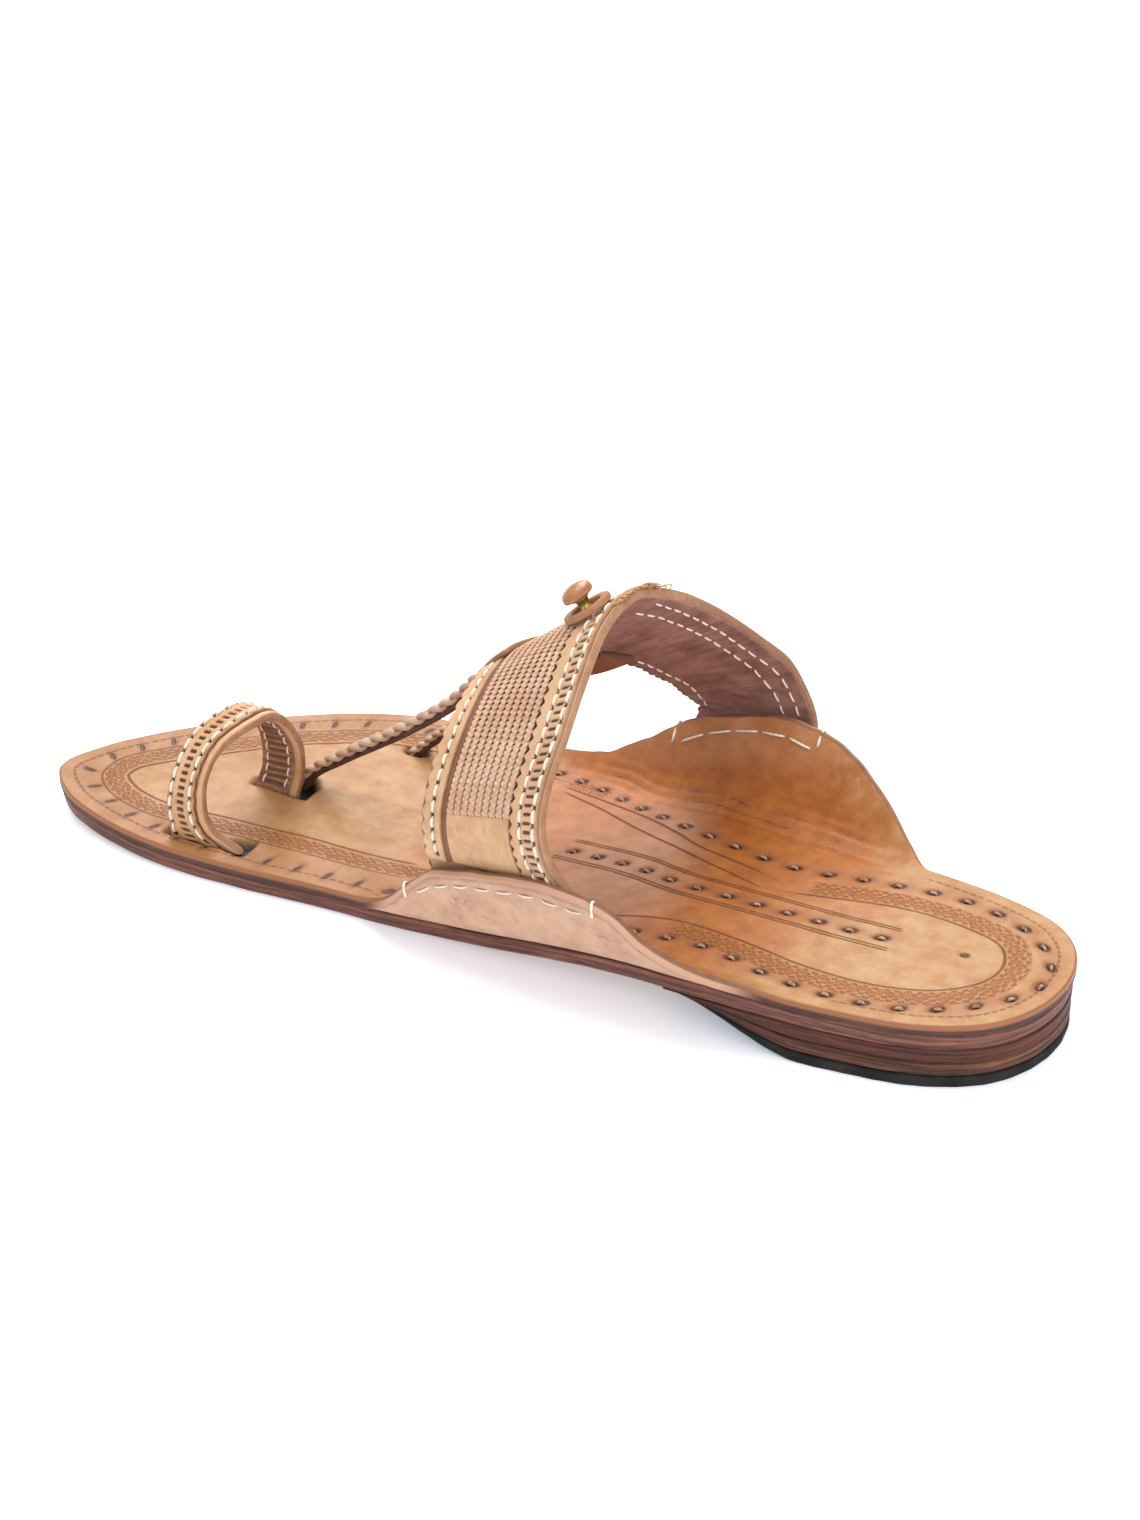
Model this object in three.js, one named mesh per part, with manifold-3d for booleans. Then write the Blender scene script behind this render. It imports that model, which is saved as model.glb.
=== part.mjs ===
// A right kolhapuri sandal: a flat leather sole whose top layer bends up into
// an ear on each side, a broad instep band stitched to both ears, a ring for
// the big toe, a braided thong from the ring to the band, a second thong on
// the outer side, and a button stud with its leather loop on the crest.
//
// Units are millimetres. +Y runs from heel to toe, +X to the outer side of the
// foot, +Z up. Tables are given with y = 0 at the back of the heel, x = 0 at
// the heel's middle and z = 0 on the ground. The finished group is shifted so
// that its origin is the middle of the bottom of its bounding box.

import * as THREE from 'three';
import { mergeVertices } from 'three/addons/utils/BufferGeometryUtils.js';
import Module from 'manifold-3d';

const wasm = await Module();
wasm.setup();

// ---------------------------------------------------------------- dimensions

const GAP = 0.3; // between pieces that meet
const HEEL_HEIGHT = 10.5; // from the ground to the underside of the outsole
const OUTSOLE_THICK = 4.3;
const INSOLE_THICK = 2.8;
const WAIST_FRONT = 175; // y where the outsole leaves the ground
const WAIST_BACK = 90; // y where it has reached the height of the heel
const SPRING_START = 215; // y where the toe begins to lift
const TOE_END = 280;
const TOE_SPRING = 2.9;
const HEEL_FLAT_END = 52; // y where the heel's underside leaves the ground
const HEEL_TIP = 88; // y where the skived heel runs out under the outsole
const HEEL_TIP_CUT = 78; // y where its layers end, before they are paper thin
const SOLE_TAPER = 0.8; // how far the outsole's lower edge is set in
const HEEL_TAPER = 1.1; // how far the tread's lower edge is set in further
const TREAD_TOP = 0.28; // the tread's and the lower lift's tops, as shares of the heel's height
const LIFT_JOINT = 0.64;
const SECTIONS = 44; // across the sole, from heel to toe
const HEEL_SECTIONS = 18;
const LAYER_COLUMNS = 2; // across the sole's level layers
const EVEN_SHARE = 0.3; // the rest of their spacing is closed up towards both ends
const END_SLICE = 0.3; // the first and last of them stop this short of the ends

const BEND_INSET = 4.6; // the ears start to bend this far inside the outline
const BEND_RADIUS = 9;
const EAR_COLUMNS = 5;
const MIDDLE_COLUMNS = 4;

const BAND_WALL = 2;
const BAND_COLUMNS = 6;
const OVERLAY_BASE = 0.3;
const OVERLAY_TOP = 1.5;
const OVERLAY_COLUMNS = 3;
const REAR_STRIP = [0.02, 0.235]; // the overlays' edges, as shares of the band's width from the rear
const BRAID_PANEL = [0.265, 0.775];
const FRONT_STRIP = [0.81, 0.99];
const RING_WALL = 1.8;
const RING_COVER = 1.5;
const SLOT_ROOM = 0.5; // around whatever passes through the insole

const THONG_RADIUS = 2.9;
const SIDE_THONG_RADIUS = 2.3;
const TAB_THICK = 1.6;
const TAB_ROUND = 0.9; // how fully a tab's sides draw in at its round end
const TAB_STEPS = 8;
const TAB_COLUMNS = 4;
const BAR_SIDE_SEGMENTS = 8;
const BAR_STEPS = 16;

const STUD_STEM_RADIUS = 2.0;
const STUD_STEM_HEIGHT = 3.8;
const STUD_STEM_WAIST = 0.82; // its narrowest, as a share of its radius
const STUD_HEAD_RADIUS = 4.1;
const STUD_HEAD_HEIGHT = 3.4;
const STUD_RIM = 0.35; // the share of the head's height below its widest
const STUD_SEAT = 0.8; // radius of the head's flat underside, as a share of the head's
const LOOP_LENGTH = 13.5;
const LOOP_WIDTH = 11;
const LOOP_THICK = 2.4;
const LOOP_EYE = 2.7; // half the width of the loop's eye
const LOOP_EYE_STRETCH = 1.25; // the eye's length for its width

// The sole's outline, round from the back of the heel, forward along the
// inner side to the tip of the toe, and back along the outer side.
const OUTLINE = [
  { x: -0.5, y: 0 },
  { x: -13.5, y: 2.8 },
  { x: -23.6, y: 10 },
  { x: -31, y: 24 },
  { x: -34.2, y: 46 },
  { x: -34.1, y: 72 },
  { x: -32.6, y: 101 },
  { x: -29, y: 130 },
  { x: -25, y: 158 },
  { x: -24, y: 186 },
  { x: -25, y: 213 },
  { x: -24.4, y: 237 },
  { x: -20.6, y: 257 },
  { x: -14.4, y: 271.5 },
  { x: -4.5, y: 280 },
  { x: 8.5, y: 276.3 },
  { x: 21, y: 268.5 },
  { x: 34, y: 257.5 },
  { x: 47, y: 243 },
  { x: 58, y: 226 },
  { x: 64.3, y: 208 },
  { x: 65, y: 190 },
  { x: 60.4, y: 169 },
  { x: 52, y: 147 },
  { x: 44.5, y: 125 },
  { x: 39, y: 102 },
  { x: 35.8, y: 78 },
  { x: 32.8, y: 48 },
  { x: 28.6, y: 25 },
  { x: 22.3, y: 10.2 },
  { x: 13, y: 2.6 },
];
const TIP_ROW = 14;

// How far the insole runs out past the outline as an ear, and how steeply the
// ear stands, in degrees from level.
const INNER_EAR = [
  { y: 56, leaf: 0, lean: 0 },
  { y: 66, leaf: 1.2, lean: 25 },
  { y: 76, leaf: 4.8, lean: 40 },
  { y: 88, leaf: 11, lean: 58 },
  { y: 96, leaf: 18, lean: 68 },
  { y: 104, leaf: 20.8, lean: 71 },
  { y: 121, leaf: 23.2, lean: 72 },
  { y: 134, leaf: 22.6, lean: 72 },
  { y: 147, leaf: 20.8, lean: 72 },
  { y: 156, leaf: 15, lean: 64 },
  { y: 163, leaf: 9, lean: 52 },
  { y: 170, leaf: 4, lean: 35 },
  { y: 178, leaf: 0, lean: 0 },
];
const OUTER_EAR = [
  { y: 48, leaf: 0, lean: 0 },
  { y: 55, leaf: 4.5, lean: 38 },
  { y: 63.5, leaf: 12.4, lean: 56 },
  { y: 74, leaf: 20.6, lean: 63 },
  { y: 84, leaf: 24.4, lean: 65 },
  { y: 93, leaf: 25.2, lean: 65 },
  { y: 108, leaf: 22.9, lean: 65 },
  { y: 122, leaf: 19.6, lean: 65 },
  { y: 130.5, leaf: 15, lean: 60 },
  { y: 140, leaf: 10, lean: 50 },
  { y: 150.5, leaf: 5.5, lean: 35 },
  { y: 166, leaf: 2.5, lean: 16 },
  { y: 178, leaf: 0, lean: 0 },
];

// The band's outer surface: its rear and front edges, row by row, from the
// foot inside the inner ear over the crest to the foot outside the outer ear.
const BAND = [
  { rx: -32.7, ry: 107.5, rz: 20.7, fx: -27.8, fy: 149, fz: 16.5 },
  { rx: -36.9, ry: 109.9, rz: 31.4, fx: -31.7, fy: 150.8, fz: 28.5 },
  { rx: -38.8, ry: 114.3, rz: 41.8, fx: -34.6, fy: 150.2, fz: 37 },
  { rx: -38.5, ry: 115.8, rz: 49.9, fx: -35.3, fy: 149.7, fz: 43.5 },
  { rx: -34.6, ry: 116.2, rz: 58, fx: -33.5, fy: 149.5, fz: 49 },
  { rx: -27, ry: 115.3, rz: 68.3, fx: -28.5, fy: 149.7, fz: 55 },
  { rx: -16.4, ry: 115.1, rz: 80, fx: -18, fy: 150.3, fz: 61.3 },
  { rx: -5, ry: 115.3, rz: 88, fx: -6, fy: 151.5, fz: 63.8 },
  { rx: 7, ry: 113.8, rz: 90.6, fx: 4.8, fy: 152.5, fz: 62.8 },
  { rx: 20.6, ry: 109, rz: 85, fx: 17.6, fy: 142.5, fz: 63.4 },
  { rx: 33, ry: 106, rz: 76.4, fx: 28.8, fy: 134.8, fz: 59.6 },
  { rx: 42.2, ry: 103.4, rz: 68.5, fx: 37.8, fy: 130, fz: 54.8 },
  { rx: 49.2, ry: 99.3, rz: 60.8, fx: 45.3, fy: 127.6, fz: 48.8 },
  { rx: 53.6, ry: 94.8, rz: 54.4, fx: 51.1, fy: 126, fz: 44.3 },
  { rx: 55.6, ry: 91.4, rz: 46.8, fx: 55.5, fy: 124.8, fz: 39.5 },
  { rx: 55.8, ry: 88.4, rz: 38, fx: 60.8, fy: 122.5, fz: 33 },
  { rx: 51.2, ry: 86.4, rz: 27, fx: 56.4, fy: 120.5, fz: 22 },
];
const CREST = 8; // the band's row on the crest
const OVERLAY_ROWS = [1.5, 15.5]; // the overlays begin clear of the inner ear
const STUD_ROW = 7.55; // where the stud stands, just to the inner side of the crest
const STUD_ACROSS = 0.19;

// The thongs' flat ends, in rows and shares of the band's width. The first
// lies on the front of the crest, the second under the band and out past its
// front edge.
const THONG_TAB = { row: CREST, halfRows: 0.45, rear: 0.78, front: 1.03 };
const SIDE_THONG_TAB = { row: 9.9, halfRows: 0.42, rear: 0.82, front: 1.2 };

// The toe ring's rear and front edges, by the angle round the toe.
const RING = [
  { angle: -24, rear: 215.5, front: 236.5 },
  { angle: -17, rear: 218.5, front: 236.2 },
  { angle: -9, rear: 223, front: 235.8 },
  { angle: 4, rear: 225, front: 236.1 },
  { angle: 20, rear: 225.4, front: 235.3 },
  { angle: 35, rear: 224.7, front: 234.2 },
  { angle: 55, rear: 222.5, front: 232.4 },
  { angle: 75, rear: 218.8, front: 229.6 },
  { angle: 90, rear: 217, front: 227.8 },
  { angle: 120, rear: 216.6, front: 226.8 },
  { angle: 145, rear: 215.9, front: 226.9 },
  { angle: 160, rear: 215.2, front: 227.4 },
  { angle: 180, rear: 215.8, front: 228.2 },
  { angle: 204, rear: 217.5, front: 230.5 },
];
const RING_MIDDLE_X = -1.5;
const RING_HALF_WIDTH = 16.5;
const RING_ARCH = { middle: 14, rise: 22.5 }; // z
const RING_STEPS = 38;

// How far round the toe and how far across the ring its pieces reach. The
// slot in the insole is a ring that overshoots both legs.
const RING_SPAN = { from: -24, to: 204, across: [0, 1] };
const COVER_SPAN = { from: -20, to: 200, across: [0.22, 1] };
const SLOT_SPAN = { from: -55, to: 240, across: [-0.04, 1.04] };

// Centre lines of the two thongs, from the insole up to the band.
const THONG_PATH = [
  { x: 20.1, y: 220, z: 6.2 },
  { x: 19.4, y: 216.6, z: 11 },
  { x: 17.2, y: 205.8, z: 19.2 },
  { x: 13.3, y: 183.7, z: 34.6 },
  { x: 9.8, y: 166.4, z: 48.4 },
  { x: 6.6, y: 155.6, z: 59.8 },
];
const SIDE_THONG_PATH = [
  { x: 46.5, y: 202, z: 6 },
  { x: 45.2, y: 193.5, z: 13.8 },
  { x: 40.6, y: 177, z: 27.6 },
  { x: 34, y: 157, z: 41 },
  { x: 27.4, y: 142, z: 51 },
];

// ------------------------------------------------------------------- helpers

// Reads a table smoothly: a cubic whose slope at a row is level where the
// values turn, so that nothing overshoots.
function read(table, by, key, at) {
  const last = table.length - 1;
  const clamped = Math.min(Math.max(at, table[0][by]), table[last][by]);
  let i = 0;
  while (i < last - 1 && clamped > table[i + 1][by]) i += 1;
  const slope = (k) => {
    if (k < 0 || k >= last) return 0;
    return (table[k + 1][key] - table[k][key]) / (table[k + 1][by] - table[k][by]);
  };
  const tangent = (k) => {
    const before = slope(k - 1);
    const after = slope(k);
    return before * after > 0 ? (2 * before * after) / (before + after) : 0;
  };
  const span = table[i + 1][by] - table[i][by];
  const t = (clamped - table[i][by]) / span;
  const rise = table[i + 1][key] - table[i][key];
  const a = tangent(i) * span - rise;
  const b = rise - tangent(i + 1) * span;
  return table[i][key] + t * rise + t * (1 - t) * (a * (1 - t) + b * t);
}

function smoothstep(from, to, at) {
  const t = Math.min(Math.max((at - from) / (to - from), 0), 1);
  return t * t * (3 - 2 * t);
}

function range(count, from = 0, to = 1) {
  return Array.from({ length: count + 1 }, (_, i) => from + ((to - from) * i) / count);
}

// A closed solid between two grids of points of the same size, one above the
// other. Rows by columns turn anticlockwise seen from the upper side.
function sheetSolid(upper, lower) {
  const rows = upper.length;
  const cols = upper[0].length;
  const endRow = rows - 1;
  const endCol = cols - 1;
  const points = [...upper.flat(), ...lower.flat()];
  const at = (side, r, c) => side * rows * cols + r * cols + c;
  const faces = [];
  const quad = (a, b, c, d) => faces.push(a, b, c, a, c, d);
  for (let r = 0; r < rows - 1; r += 1) {
    for (let c = 0; c < cols - 1; c += 1) {
      quad(at(0, r, c), at(0, r, c + 1), at(0, r + 1, c + 1), at(0, r + 1, c));
      quad(at(1, r, c), at(1, r + 1, c), at(1, r + 1, c + 1), at(1, r, c + 1));
    }
    quad(at(0, r, 0), at(0, r + 1, 0), at(1, r + 1, 0), at(1, r, 0));
    quad(at(0, r + 1, endCol), at(0, r, endCol), at(1, r, endCol), at(1, r + 1, endCol));
  }
  for (let c = 0; c < cols - 1; c += 1) {
    quad(at(0, 0, c + 1), at(0, 0, c), at(1, 0, c), at(1, 0, c + 1));
    quad(at(0, endRow, c), at(0, endRow, c + 1), at(1, endRow, c + 1), at(1, endRow, c));
  }
  const positions = points.flatMap((p) => p.toArray());
  const geometry = new THREE.BufferGeometry();
  geometry.setAttribute('position', new THREE.Float32BufferAttribute(positions, 3));
  geometry.setIndex(faces);
  return geometry;
}

function asManifold(geometry) {
  const bare = geometry.clone();
  bare.deleteAttribute('normal');
  bare.deleteAttribute('uv');
  const merged = mergeVertices(bare);
  return new wasm.Manifold(new wasm.Mesh({
    numProp: 3,
    vertProperties: new Float32Array(merged.attributes.position.array),
    triVerts: new Uint32Array(merged.index.array),
  }));
}

function cut(geometry, tools) {
  let solid = asManifold(geometry);
  for (const tool of tools) {
    solid = solid.subtract(asManifold(tool));
  }
  const mesh = solid.getMesh();
  const result = new THREE.BufferGeometry();
  result.setAttribute('position', new THREE.Float32BufferAttribute(mesh.vertProperties, 3));
  result.setIndex([...mesh.triVerts]);
  return result;
}

// A round bar along a smooth line through the table's points.
function bar(path, radius, steps = BAR_STEPS) {
  const points = path.map((p) => new THREE.Vector3(p.x, p.y, p.z));
  const extrudePath = new THREE.CatmullRomCurve3(points, false, 'centripetal');
  const section = new THREE.Shape();
  section.absarc(0, 0, radius, 0, 2 * Math.PI);
  return new THREE.ExtrudeGeometry(section, { steps, curveSegments: BAR_SIDE_SEGMENTS, extrudePath });
}

// ---------------------------------------------------------------------- sole

const outline = new THREE.CatmullRomCurve3(
  OUTLINE.map((p) => new THREE.Vector3(p.x, p.y, 0)),
  true,
  'centripetal',
);
outline.arcLengthDivisions = 2000;
const HALVINGS = 30; // enough to find a place on the outline to far below a micrometre

// The share of the outline's length that lies between the heel and the tip.
function tipShare() {
  const lengths = outline.getLengths();
  const index = Math.round((TIP_ROW / OUTLINE.length) * (lengths.length - 1));
  return lengths[index] / lengths[lengths.length - 1];
}
const TIP_SHARE = tipShare();

// The outline's point at height y along the shoe, and the level direction
// that points out of it. side -1 is the inner side, 1 the outer.
function edge(side, y) {
  let low = side < 0 ? 0 : 1;
  let high = TIP_SHARE;
  for (let i = 0; i < HALVINGS; i += 1) {
    const middle = (low + high) / 2;
    if (outline.getPointAt(middle).y < y) low = middle;
    else high = middle;
  }
  const along = outline.getTangentAt(low);
  return { point: outline.getPointAt(low), out: new THREE.Vector3(-along.y, along.x, 0) };
}

// Places along the shoe from heel to toe, closer together at both ends.
function stations() {
  return range(SECTIONS).map((t) => {
    const eased = EVEN_SHARE * t + (1 - EVEN_SHARE) * (1 - Math.cos(Math.PI * t)) / 2;
    return END_SLICE + (TOE_END - 2 * END_SLICE) * eased;
  });
}

// Places along the heel, closer together at its back.
function heelStations() {
  return range(HEEL_SECTIONS).map((t) => {
    const eased = 1 - Math.cos((Math.PI / 2) * t);
    return END_SLICE + (HEEL_TIP_CUT - END_SLICE) * eased;
  });
}

// Height of the outsole's underside.
function underOutsole(y) {
  const waist = HEEL_HEIGHT * smoothstep(WAIST_FRONT, WAIST_BACK, y);
  const lift = Math.max(0, (y - SPRING_START) / (TOE_END - SPRING_START));
  return waist + TOE_SPRING * lift * lift;
}

function topOfInsole(y) {
  return underOutsole(y) + OUTSOLE_THICK + INSOLE_THICK;
}

// Height of the heel's underside, which curves up to the outsole at its front.
function underHeel(y) {
  return underOutsole(y) * smoothstep(HEEL_FLAT_END, HEEL_TIP, y);
}

// A level layer of the sole: one row of points across each station.
function layerGrid(places, inset, height) {
  return places.map((y) => {
    const ends = [-1, 1].map((side) => {
      const { point, out } = edge(side, y);
      return point.clone().addScaledVector(out, -inset);
    });
    return range(LAYER_COLUMNS).map((t) => {
      const p = ends[0].clone().lerp(ends[1], t);
      p.z = height(p.y);
      return p;
    });
  });
}

function outsole() {
  const places = stations();
  const upper = layerGrid(places, 0, (y) => underOutsole(y) + OUTSOLE_THICK - GAP);
  const lower = layerGrid(places, SOLE_TAPER, underOutsole);
  return sheetSolid(upper, lower);
}

// One layer of the heel, between two shares of the heel's height.
function heelLayer(from, to) {
  const places = heelStations();
  const height = (share) => (y) => {
    const low = underHeel(y);
    return low + share * (underOutsole(y) - low);
  };
  const setIn = (share) => SOLE_TAPER + HEEL_TAPER * (1 - share);
  const upper = layerGrid(places, setIn(to), (y) => height(to)(y) - GAP);
  const lower = layerGrid(places, setIn(from), height(from));
  return sheetSolid(upper, lower);
}

// -------------------------------------------------------------------- insole

// Across one station: level between the bends, then up along each ear. Gives
// the upper point and the direction that leads to the lower one.
function insoleSection(y) {
  const ends = [-1, 1].map((side) => ({
    out: new THREE.Vector3(side, 0, 0),
    point: edge(side, y).point,
  }));
  const width = ends[0].point.distanceTo(ends[1].point);
  const inset = Math.min(BEND_INSET, width / 4);
  const leaves = ends.map(({ out, point }) => {
    const table = out.x < 0 ? INNER_EAR : OUTER_EAR;
    const lean = THREE.MathUtils.degToRad(read(table, 'y', 'lean', y));
    const length = inset + read(table, 'y', 'leaf', y);
    const start = point.clone().addScaledVector(out, -inset);
    return range(EAR_COLUMNS).map((t) => leafPoint(start, out, length * t, lean));
  });
  const [inner, outer] = leaves;
  const middle = range(MIDDLE_COLUMNS).slice(1, -1).map((t) => {
    const top = inner[0].top.clone().lerp(outer[0].top, t);
    top.z = topOfInsole(top.y);
    return { top, down: new THREE.Vector3(0, 0, -1) };
  });
  return [...inner.reverse(), ...middle, ...outer];
}

// A point some way along an ear: round the bend, then straight on.
function leafPoint(start, out, along, lean) {
  const bent = Math.min(along, BEND_RADIUS * lean);
  const turn = bent / BEND_RADIUS;
  const reach = BEND_RADIUS * Math.sin(turn) + (along - bent) * Math.cos(turn);
  const rise = BEND_RADIUS * (1 - Math.cos(turn)) + (along - bent) * Math.sin(turn);
  const top = start.clone().addScaledVector(out, reach);
  top.z = topOfInsole(top.y) + rise;
  const down = out.clone().multiplyScalar(Math.sin(turn));
  down.z = -Math.cos(turn);
  return { top, down };
}

function insole() {
  const sections = stations().map(insoleSection);
  const surface = (depth) => sections.map((row) => row.map(
    ({ top, down }) => top.clone().addScaledVector(down, depth),
  ));
  const ringSlot = ringSolid(-RING_WALL - SLOT_ROOM, RING_COVER + SLOT_ROOM, SLOT_SPAN);
  const thongHole = bar(throughInsole(THONG_PATH), THONG_RADIUS + SLOT_ROOM, 2);
  const sideHole = bar(throughInsole(SIDE_THONG_PATH), SIDE_THONG_RADIUS + SLOT_ROOM, 2);
  return cut(sheetSolid(surface(0), surface(INSOLE_THICK)), [ringSlot, thongHole, sideHole]);
}

// A thong's first stretch, drawn out at its lower end so that it cuts right
// through the insole.
const THROUGH = 0.8; // by this share of the stretch
function throughInsole(path) {
  const first = new THREE.Vector3(path[0].x, path[0].y, path[0].z);
  const next = new THREE.Vector3(path[1].x, path[1].y, path[1].z);
  return [-THROUGH, 1 / 2, 1].map((share) => first.clone().lerp(next, share));
}

// ---------------------------------------------------------------------- band

const rearEdge = new THREE.CatmullRomCurve3(BAND.map((r) => new THREE.Vector3(r.rx, r.ry, r.rz)));
const frontEdge = new THREE.CatmullRomCurve3(BAND.map((r) => new THREE.Vector3(r.fx, r.fy, r.fz)));

// The band's outer surface. row counts along the table, across runs from the
// rear edge 0 to the front edge 1.
function bandSurface(row, across) {
  const share = row / (BAND.length - 1);
  return rearEdge.getPoint(share).lerp(frontEdge.getPoint(share), across);
}

const SLOPE_STEP = 0.02; // over which the band's slopes are measured
function bandNormal(row, across) {
  const step = SLOPE_STEP;
  const next = Math.min(row + step, BAND.length - 1);
  const alongArch = bandSurface(next, across).sub(bandSurface(Math.max(row - step, 0), across));
  const alongWidth = bandSurface(row, across + step).sub(bandSurface(row, across - step));
  return alongArch.cross(alongWidth).normalize();
}

function bandPoint(row, across, out) {
  return bandSurface(row, across).addScaledVector(bandNormal(row, across), out);
}

// A piece of the band between two depths, as wide and as long as asked. It is
// folded at every half row, so that pieces that lie on each other fold alike.
function bandPiece({ inner, outer, rows, across, columns }) {
  const folds = range(2 * (rows[1] - rows[0]), ...rows);
  const grid = (out) => range(columns, ...across).map((a) => folds.map((r) => bandPoint(r, a, out)));
  return sheetSolid(grid(outer), grid(inner));
}

function instepBand() {
  const rows = [0, BAND.length - 1];
  return bandPiece({ inner: -BAND_WALL, outer: 0, rows, across: [0, 1], columns: BAND_COLUMNS });
}

function overlay(across) {
  const depths = { inner: OVERLAY_BASE, outer: OVERLAY_TOP };
  return bandPiece({ ...depths, rows: OVERLAY_ROWS, across, columns: OVERLAY_COLUMNS });
}

// A flat tab of leather at some depth in the band, with a round end towards
// the toe.
function tab({ row, halfRows, rear, front }, base) {
  const surface = (out) => range(TAB_STEPS, rear, front).map((a) => {
    const t = (a - rear) / (front - rear);
    const half = halfRows * Math.sqrt(1 - TAB_ROUND * t ** 4);
    return range(TAB_COLUMNS, row - half, row + half).map((r) => bandPoint(r, a, out));
  });
  return sheetSolid(surface(base + TAB_THICK), surface(base));
}

// ------------------------------------------------------------------ toe ring

function ringPoint(angle, across, out) {
  const turn = THREE.MathUtils.degToRad(angle);
  const rear = read(RING, 'angle', 'rear', angle);
  const front = read(RING, 'angle', 'front', angle);
  const x = RING_MIDDLE_X - (RING_HALF_WIDTH + out) * Math.cos(turn);
  const y = rear + (front - rear) * across;
  const z = RING_ARCH.middle + (RING_ARCH.rise + out) * Math.sin(turn);
  return new THREE.Vector3(x, y, z);
}

function ringSolid(inner, outer, { from, to, across }) {
  const angles = range(RING_STEPS, from, to);
  const grid = (out) => range(2, ...across).map((a) => angles.map((angle) => ringPoint(angle, a, out)));
  return sheetSolid(grid(outer), grid(inner));
}

// ---------------------------------------------------------------------- stud

function stem() {
  const profile = [
    [0, 0],
    [STUD_STEM_RADIUS, 0],
    [STUD_STEM_RADIUS * STUD_STEM_WAIST, STUD_STEM_HEIGHT / 2],
    [STUD_STEM_RADIUS, STUD_STEM_HEIGHT],
    [0, STUD_STEM_HEIGHT],
  ];
  return new THREE.LatheGeometry(profile.map(([r, h]) => new THREE.Vector2(r, h)), 16);
}

function head() {
  const rim = STUD_HEAD_HEIGHT * STUD_RIM;
  const dome = range(4, 0, Math.PI / 2).map((a) => new THREE.Vector2(
    STUD_HEAD_RADIUS * Math.cos(a),
    rim + (STUD_HEAD_HEIGHT - rim) * Math.sin(a),
  ));
  dome[4].x = 0;
  return new THREE.LatheGeometry([
    new THREE.Vector2(0, 0),
    new THREE.Vector2(STUD_HEAD_RADIUS * STUD_SEAT, 0),
    ...dome,
  ], 20);
}

// The leather loop that is buttoned over the stud, lying flat.
function loop() {
  const shape = new THREE.Shape();
  shape.absellipse(0, 0, LOOP_WIDTH / 2, LOOP_LENGTH / 2, 0, 2 * Math.PI);
  const eye = new THREE.Path();
  eye.absellipse(0, 0, LOOP_EYE, LOOP_EYE * LOOP_EYE_STRETCH, 0, 2 * Math.PI);
  shape.holes.push(eye);
  return new THREE.ExtrudeGeometry(shape, {
    depth: LOOP_THICK,
    bevelEnabled: false,
    curveSegments: 10,
  });
}

// ------------------------------------------------------------------ assembly

const LEATHER = {
  tan: { color: 0xd09a60, roughness: 0.55, metalness: 0 },
  edge: { color: 0x7d4f45, roughness: 0.5, metalness: 0 },
  lift: { color: 0x8a4a3a, roughness: 0.45, metalness: 0 },
  band: { color: 0xd8ae82, roughness: 0.65, metalness: 0 },
  braid: { color: 0xcfa07c, roughness: 0.75, metalness: 0 },
};
const RUBBER = { color: 0x2f2f2d, roughness: 0.85, metalness: 0 };
const BRASS = { color: 0xb7a35c, roughness: 0.35, metalness: 0.9 };
const BUTTON = { color: 0xd39a62, roughness: 0.4, metalness: 0 };

const group = new THREE.Group();

function add(name, geometry, finish) {
  const mesh = new THREE.Mesh(geometry, new THREE.MeshStandardMaterial(finish));
  mesh.name = name;
  group.add(mesh);
  return mesh;
}

// Stands a piece that was made along one of its own axes on the band.
function standOnBand(mesh, own, height) {
  const normal = bandNormal(STUD_ROW, STUD_ACROSS);
  mesh.quaternion.setFromUnitVectors(own, normal);
  mesh.position.copy(bandPoint(STUD_ROW, STUD_ACROSS, height));
}

function build() {
  add('heel_tread', heelLayer(0, TREAD_TOP), RUBBER);
  add('heel_lift_lower', heelLayer(TREAD_TOP, LIFT_JOINT), LEATHER.lift);
  add('heel_lift_upper', heelLayer(LIFT_JOINT, 1), LEATHER.lift);
  add('outsole', outsole(), LEATHER.edge);
  add('insole', insole(), LEATHER.tan);
  add('instep_band', instepBand(), LEATHER.band);
  add('band_rear_strip', overlay(REAR_STRIP), LEATHER.band);
  add('band_braid_panel', overlay(BRAID_PANEL), LEATHER.braid);
  add('band_front_strip', overlay(FRONT_STRIP), LEATHER.band);
  add('toe_ring', ringSolid(-RING_WALL, 0, RING_SPAN), LEATHER.band);
  add('toe_ring_cover', ringSolid(OVERLAY_BASE, RING_COVER, COVER_SPAN), LEATHER.band);
  const seat = OVERLAY_TOP + GAP; // what stands on the overlays
  const underBand = -BAND_WALL - GAP - TAB_THICK;
  add('thong', bar(THONG_PATH, THONG_RADIUS), LEATHER.braid);
  add('thong_tab', tab(THONG_TAB, seat), LEATHER.band);
  add('side_thong', bar(SIDE_THONG_PATH, SIDE_THONG_RADIUS), LEATHER.braid);
  add('side_thong_tab', tab(SIDE_THONG_TAB, underBand), LEATHER.band);
  const up = new THREE.Vector3(0, 1, 0);
  standOnBand(add('stud_stem', stem(), BRASS), up, seat);
  standOnBand(add('stud_head', head(), BUTTON), up, seat + STUD_STEM_HEIGHT + GAP);
  standOnBand(add('stud_loop', loop(), LEATHER.band), new THREE.Vector3(0, 0, 1), seat);
}

build();

// Put the origin in the middle of the bottom of the bounding box.
const bounds = new THREE.Box3().setFromObject(group, true);
group.position.set(-(bounds.min.x + bounds.max.x) / 2, -(bounds.min.y + bounds.max.y) / 2, -bounds.min.z);

export default group;
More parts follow.
